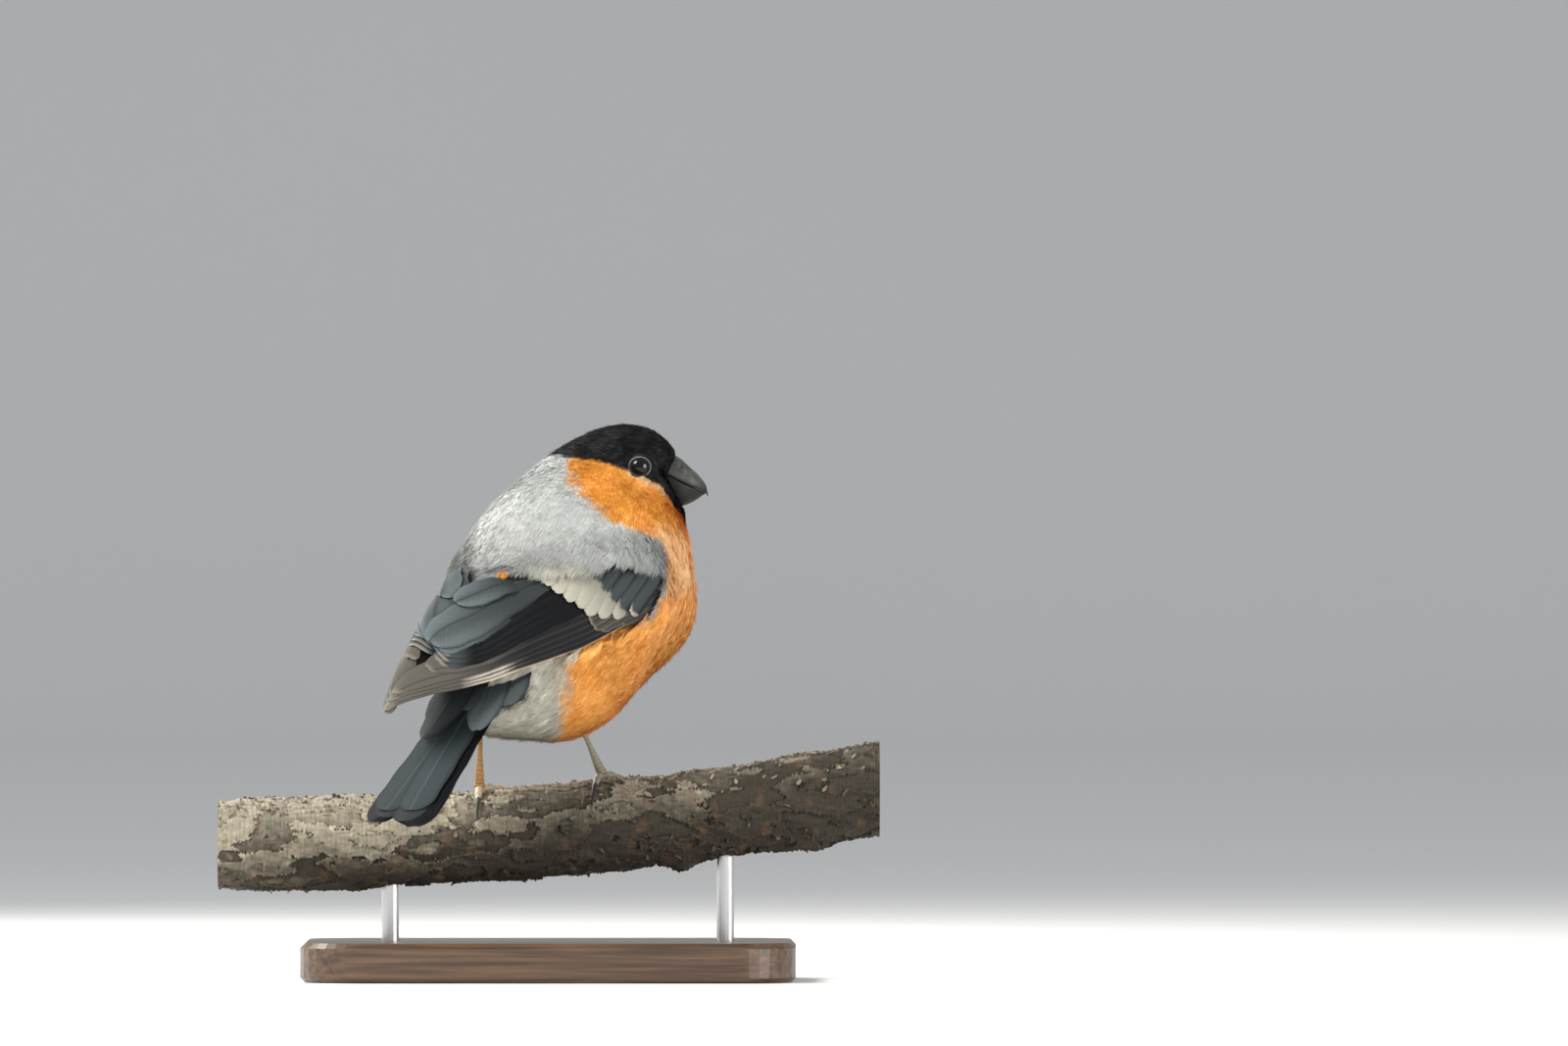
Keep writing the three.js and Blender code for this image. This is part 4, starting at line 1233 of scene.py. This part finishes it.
def tail(material):
    """Six pairs of tail feathers, each below the one before, and the coverts over and under their roots."""
    heap = Heap()
    feathers = []
    for pair in range(6):
        for hand, turn, longer in ((1, 2.6, 3.2), (-1, -4.3, 1.8)):
            inside = hand * (0.55 * pair - 1.1) if pair else 0
            feathers.append({
                "turn": turn + inside, "lift": 0.3 - 0.3 * pair + (0.18 if hand > 0 else 0),
                "length": TAIL["length"] + 0.5 + (longer + 0.12 * pair if pair else 0), "width": 9.6,
                "blunt": 0.93, "foot": 0.5,
                "shaft": -0.1 * hand, "colour": rectrix_colour if pair == 0 else hidden_rectrix_colour,
            })
    rows = [(-7, 40.5, 2.0, -9, 0.3), (-13, 34, 1.6, -8, 0.25), (12, 38, 1.8, -4, 0.85),
            (23, 31, 1.6, -3, 0.6), (3, 31, 2.2, -4, 0.4), (-2, 28, 2.4, -6, 0.3)]
    for turn, length, lift, start, tone in rows:
        feathers.append({"turn": turn, "lift": lift, "length": length, "width": 9.4, "start": start,
                         "crown": 0.5, "blunt": 0.7, "colour": covert_colour(tone)})
    for turn in (-8, 0, 8):
        feathers.append({"turn": turn, "lift": -2.6, "length": 27, "width": 7.6, "crown": -0.4,
                         "blunt": 0.7, "colour": vent_covert_colour})
    for feather in feathers:
        feather["seed"] = rng.uniform(0, 6)
        add_vane(heap, feather, on_tail(feather), 0.3)
    piece = heap.make("tail_feathers", material, sharp=45)
    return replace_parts(piece, "tail")


# Perch
# Bark colours. The pale bark also stands for painted light on the top of the branch.
BARK_DARK = np.array([0.026, 0.020, 0.012])
BARK_PALE = np.array([0.27, 0.24, 0.18])
BARK_RUST = np.array([0.11, 0.06, 0.03])
WOOD_DARK = np.array([0.20, 0.13, 0.075])
WOOD_PALE = np.array([0.42, 0.31, 0.20])
WOOD_RIM = np.array([0.08, 0.06, 0.045])
FLAKE_DARK = np.array([0.09, 0.07, 0.045])
FLAKE_PALE = np.array([0.30, 0.27, 0.20])


def perch_centre(x):
    z = PERCH["from_z"] + PERCH["slope"] * x + PERCH["curve"] * x * x
    return np.stack([x, np.zeros_like(x), z], axis=-1)


def knob(x, angle, at, turn, height, wide):
    """Height of a bump at a place along the perch and a turn round it."""
    facing = np.maximum(np.cos(angle - math.radians(turn)), 0) ** 6
    return height * bell((x - at) / wide) * facing


def perch_radius(x, angle):
    knobs = knob(x, angle, 30, -92, 2.2, 3.5) + knob(x, angle, 61, -95, 1.2, 4)
    knobs = knobs + knob(x, angle, 40, 200, 0.8, 4)
    swell = 0.3 * np.sin(0.11 * x + 1) + 0.2 * np.sin(0.31 * x + 2 * angle)
    return PERCH["radius"] + swell + knobs


def around_perch(x, angle, lift):
    """Points over the perch's bark, x along it and an angle round it."""
    r = perch_radius(x, angle) + lift
    zero = np.zeros_like(r)
    return perch_centre(x) + np.stack([zero, r * np.cos(angle), r * np.sin(angle)], axis=-1)


# Unevenness of the bark, from broad to fine
LAYERS = Ripple(9.0, 21, 11)
EDGES = Ripple(2.4, 22)
SPECKS = Ripple(1.0, 23)
RIBS = Ripple(1.3, 26)
WEATHER = Ripple(17.0, 24)
RUST = Ripple(6.0, 25)


def bark_height(points):
    """Thin papery layers with ragged, lifted edges that run along the branch, and fine ribs round it."""
    along = points * np.array([0.45, 1.3, 1.3])
    level = 1.2 * LAYERS(along) + 0.26 * EDGES(along) + 0.07 * SPECKS(points)
    step = level - np.floor(level)
    lip = bell(step / 0.10)
    foot = smooth(step, 0.86, 1.0)
    ribs = RIBS(points * np.array([1.7, 0.30, 0.30])) + 0.4 * SPECKS(points * np.array([1.8, 0.5, 0.5]))
    height = 0.60 * (1 - step) + 0.32 * lip + 0.05 * ribs + 0.04 * SPECKS(points * 1.6) - 0.3
    return height, np.floor(level), lip, foot, ribs


def add_end(heap, rim, centre, outward):
    """A cut end, with the rings of the wood between its rim and its centre."""
    share = np.linspace(1, 0.004, 26)[:, None, None]
    disc = centre + (rim - centre) * share
    wood = faded(WOOD_DARK, WOOD_PALE, np.abs(np.sin(28 * share[:, 0, 0])) ** 0.5)
    wood[:2] = WOOD_RIM
    faces = grid_faces(26, len(rim), closed=True)[:, ::outward]
    heap.add(disc.reshape(-1, 3), faces, np.repeat(wood, len(rim), axis=0))


def perch(material):
    """The branch with its bark and both cut ends."""
    rings, sides = 560, 180
    k, turn = ring_grid(np.linspace(-1, 1, rings), sides)
    half = PERCH["length"] / 2
    x, turn = (half * k).ravel(), turn.ravel()
    height, layer, lip, foot, ribs = bark_height(around_perch(x, turn, 0.0))
    points = around_perch(x, turn, np.clip(height, -0.5, 0.7) - 0.1)
    sheet = np.sin(layer * 2.4 + 0.6) + 0.5 * WEATHER(points)
    # The bark is painted paler on the top of the branch and towards its left end, a painted light; the paler
    # and darker patches of its layers are the bark's own colour.
    weathered_and_top_lit = smooth(1.1 * np.sin(turn) + 0.4 * sheet - 0.012 * x + 0.15 * EDGES(points), -0.3, 1.5)
    colour = faded(BARK_DARK, BARK_PALE, weathered_and_top_lit)
    # The lifted lip of each layer is painted lighter, a painted highlight, and the foot of each step much
    # darker, a painted shadow under the edge above.
    colour = colour * (1 + 0.22 * ribs + 0.6 * lip)[:, None] * mix(1, 0.16, foot)[:, None]
    colour = faded(colour, BARK_RUST, 0.35 * smooth(RUST(points), 0.5, 1.0))
    heap = Heap()
    heap.add(points, grid_faces(rings, sides, closed=True), colour)
    for end, first in ((-1, 0), (1, (rings - 1) * sides)):
        add_end(heap, points[first:first + sides], perch_centre(np.array([end * half])), end)
    piece = heap.make("branch", material)
    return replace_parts(piece, "perch")


def flakes(material):
    """Thin curls of bark that have come loose, most of them along the top."""
    heap = Heap()
    for _ in range(FLAKES):
        x = rng.uniform(-73, 73)
        turn = rng.normal(1.6, 0.5) if rng.random() < 0.6 else rng.uniform(-3.2, 3.2)
        long, wide = rng.uniform(0.6, 2.2), rng.uniform(0.3, 1.1)
        curl, twist = rng.uniform(0.4, 1.3), rng.uniform(-3.1, 3.1)
        a, b = np.meshgrid(np.linspace(0, 1, 6), np.linspace(-1, 1, 5), indexing="ij")
        taper = np.sqrt(np.maximum(1 - (2 * a - 1) ** 2 * 0.8, 0)) * (1 + 0.2 * np.sin(9 * a + twist))
        dx = a * long * math.cos(twist) - b * wide * taper / 2 * math.sin(twist)
        dy = a * long * math.sin(twist) + b * wide * taper / 2 * math.cos(twist)
        lift = 0.05 + curl * a**2 * 0.6 + 0.2 * b**2
        top = around_perch(x + dx, turn + dy / PERCH["radius"], lift).reshape(-1, 3)
        under = around_perch(x + dx, turn + dy / PERCH["radius"], lift - 0.12).reshape(-1, 3)
        # Flakes on the top of the branch are painted paler, a painted light from above.
        colour = mix(FLAKE_DARK, FLAKE_PALE, max(math.sin(turn), 0))
        heap.add(np.concatenate([top, under]), sheet_faces(6, 5), colour * rng.uniform(0.7, 1.25))
    return heap.make("bark_flakes", material)


# Legs, feet and claws
# The left leg and its toes are painted lighter and more orange than the right, a painted glow of light
# through them.
LEGS = {
    "r": {"heel": [5.9, -9.2, 61], "foot": 11.8, "at": 90, "hind": 257, "inner": 88, "middle": 62,
          "outer": 40, "colour": [0.17, 0.15, 0.10], "toes": [0.19, 0.17, 0.125]},
    "l": {"heel": [-15.4, -8.6, 61.6], "foot": -15.8, "at": 94, "hind": 268, "inner": 28,
          "middle": 58, "outer": 92, "colour": [0.25, 0.13, 0.035], "toes": [0.33, 0.27, 0.18]},
}
# Length of each toe and of its claw
TOES = {"hind": (6.5, 6.0), "inner": (8.2, 4.2), "middle": (11.5, 4.6), "outer": (9.0, 4.2)}
CLAW_TIP = np.array([0.014, 0.011, 0.009])


def toe_points(leg, toe, lengths, lift):
    """Points along a toe that bends round the perch, at lengths from the ankle."""
    heading = math.radians(leg[toe])
    whole = TOES[toe][0]
    x = leg["foot"] + lengths * math.cos(heading) * (1 - 0.02 * lengths)
    curl = 0.18 * abs(math.cos(heading)) * lengths * (lengths / whole)
    turned = math.sin(heading) * lengths + np.sign(math.sin(heading)) * curl
    angle = np.radians(leg["at"]) - turned / (PERCH["radius"] + 1)
    return around_perch(x, angle, lift)


def scuted(share, count, depth=0.06):
    """Overlapping plates down a leg or toe, each a little wider at its lower edge."""
    step = (share * count) % 1.0
    return 1 + depth * (step - 0.5)


def add_toe(heap, leg, toe):
    """One toe in plates, with pads along it."""
    long = TOES[toe][0]
    share = np.linspace(0, 1, 61)
    thick = LEG["toe"] * mix(1.1, 0.72, share)
    pads = 1 + 0.13 * np.cos(6 * math.pi * share)
    centres = toe_points(leg, toe, long * share, LEG["gap"] * 0.3 + thick)
    points, faces = tube(centres, thick * pads * scuted(share, long * 1.5) * 0.98, 18)
    tone = 0.8 + 0.35 * ((share * long * 1.5) % 1.0)
    heap.add(points, faces, np.array(leg["toes"]) * np.repeat(tone, 18)[:, None])


def claw(key, leg, toe, material):
    long, claw_long = TOES[toe]
    t = np.linspace(0, 1, 30)
    lift = 0.1 + mix(0.8, 0.1, t) + 0.7 * np.sin(math.pi * t)
    path = toe_points(leg, toe, long + 0.1 + claw_long * t, lift)
    thick = LEG["claw"] * np.interp(t, [0, 0.2, 0.5, 0.75, 1], [0.95, 0.78, 0.58, 0.36, 0.05])
    points, faces = tube(path, thick, 16)
    colour = np.repeat(faded(np.array(leg["toes"]) * 0.16, CLAW_TIP, 1.4 * t), 16, axis=0)
    piece = mesh_object(f"talon_{key}_{toe}", points, faces, material, colour)
    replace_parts(piece, f"claw_{key}_{toe}")


def add_knuckle(heap, leg, ankle):
    """The round joint between the leg and the toes."""
    def ball(k, angle):
        polar = math.pi * np.clip(k, 0.003, 0.997)
        ring = np.stack([np.cos(angle), np.sin(angle), 0 * angle], axis=1) * np.sin(polar)[:, None]
        return ankle + LEG["ankle"] * (ring + np.cos(polar)[:, None] * np.array([0, 0, 1.0]))

    points, faces, k = round_grid(20, 24, ball)
    heap.add(points, faces, np.array(leg["colour"]) * (0.85 + 0.2 * np.sin(30 * k))[:, None])


def shank(key, leg, ankle, material):
    """The bare leg from the heel down to the toes, in plates."""
    share = np.linspace(0, 1, 121)
    heel = np.array(leg["heel"], float)
    centres = heel + (ankle - heel) * share[:, None]
    flare = 0.75 * smooth(share, 0.5, 1.0) + 0.2 * (1 - share) ** 4
    radius = LEG["tarsus"] * (0.8 + flare) * scuted(share**1.4, 13, 0.12)
    points, faces = tube(centres, radius, 20)
    tone = 0.78 + 0.4 * ((share**1.4 * 13) % 1.0)
    colour = np.array(leg["colour"]) * np.repeat(tone, 20)[:, None]
    piece = mesh_object(f"shank_{key}", points, faces, material, colour)
    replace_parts(piece, f"leg_{key}")


def foot(key, leg, material, claw_material):
    """One leg with its toes and claws."""
    heap = Heap()
    ankle = around_perch(np.array([leg["foot"]]), np.radians([leg["at"]]), LEG["ankle"] + 0.5)[0]
    for toe in TOES:
        add_toe(heap, leg, toe)
        claw(key, leg, toe, claw_material)
    add_knuckle(heap, leg, ankle)
    piece = heap.make(f"toes_{key}", material)
    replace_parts(piece, f"foot_{key}")
    shank(key, leg, ankle, material)


# Stand, floor, light and camera
def stand():
    """New materials on the solids of the base, along its grain, and of the rods."""
    wood = ramp_material("stand_wood", 0.38, (900, 8, (0.035, 1, 1)),
                         [(0.35, (0.035, 0.018, 0.009)), (0.68, (0.12, 0.062, 0.03))], (0.15, 0.0003),
                         {"Coat Weight": 0.25})
    steel = ramp_material("stand_steel", 0.28, (1500, 4, (1, 1, 0.03)),
                          [(0.0, (0.42, 0.42, 0.43)), (1.0, (0.66, 0.66, 0.67))], (0.1, 0.0001),
                          {"Metallic": 1.0})
    for name, material in (("stand_base", wood), ("stand_rod_1", steel), ("stand_rod_2", steel)):
        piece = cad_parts[name]
        piece.data.materials.clear()
        piece.data.materials.append(material)


def backdrop():
    """A plain pale floor that curves up into a plain wall, far enough for a camera behind the bird."""
    material = grained_material("backdrop", 0.9, (3, 2), 0.01)
    bend = np.linspace(0, math.pi / 2, 24)
    radius = FLOOR["radius"]
    back = FLOOR["bend"] + radius
    y = np.concatenate([[FLOOR["front"]], FLOOR["bend"] + radius * np.sin(bend), [back]])
    z = np.concatenate([[0.0], radius - radius * np.cos(bend), [FLOOR["top"]]])
    left = np.stack([np.full(len(y), -FLOOR["half"]), y, z], axis=-1)
    points = np.stack([left, left * np.array([-1, 1, 1])], axis=1).reshape(-1, 3)
    colour = np.tile(FLOOR["colour"], (len(points), 1))
    faces = grid_faces(len(y), 2)
    floor = mesh_object("floor", points, faces[:, ::-1], material, colour)


def area_light(name, at, across, power, colour):
    data = bpy.data.lights.new(name, "AREA")
    data.shape = "DISK"
    data.size = across * MM
    data.energy = power
    data.color = colour
    lamp = linked(name, data)
    lamp.location = Vector(at) * MM
    lamp.rotation_euler = (Vector(LIT_POINT) - Vector(at)).to_track_quat("-Z", "Y").to_euler()


def lights():
    for light in LIGHTS:
        area_light(*light)
    world = bpy.data.worlds.new("studio")
    world.use_nodes = True
    background = world.node_tree.nodes["Background"]
    background.inputs["Color"].default_value = WORLD_COLOUR
    background.inputs["Strength"].default_value = WORLD_STRENGTH
    bpy.context.scene.world = world
    bpy.context.scene.view_settings.view_transform = "Standard"


def camera():
    data = bpy.data.cameras.new("camera")
    data.lens = CAMERA_LENS
    data.sensor_width = CAMERA_SENSOR
    data.clip_start = 0.1
    data.clip_end = 30
    viewer = linked("camera", data)
    viewer.location = Vector(CAMERA_AT) * MM
    viewer.rotation_euler = (math.radians(90), 0, 0)
    bpy.context.scene.camera = viewer


# Assembly
camera()
lights()
plumage = grained_material("plumage", 0.65, (2500, 3), 0.16, sockets={"Specular IOR Level": 0.12})
vanes = vane_material()
horn = grained_material("horn", 0.5, (900, 6), 0.35, (0.25, 0.0002), {"Specular IOR Level": 0.25})
scales = grained_material("leg_scales", 0.5, (1500, 4), 0.3, (0.3, 0.00015))
bark = grained_material("bark", 0.92, (1400, 8, (0.5, 1, 1)), 0.5, (0.8, 0.0006))
skin_mesh = skin(plumage)
coat(plumage, skin_mesh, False)
wing(-1, "wing_r", vanes)
wing(1, "wing_l", vanes)
tail(vanes)
eyes(eye_material(), plumage)
mandible("upper", UPPER_BILL, 1, horn)
mandible("lower", LOWER_BILL, -1, horn)
for key, leg in LEGS.items():
    foot(key, leg, scales, horn)
perch(bark)
flakes(bark)
stand()
backdrop()
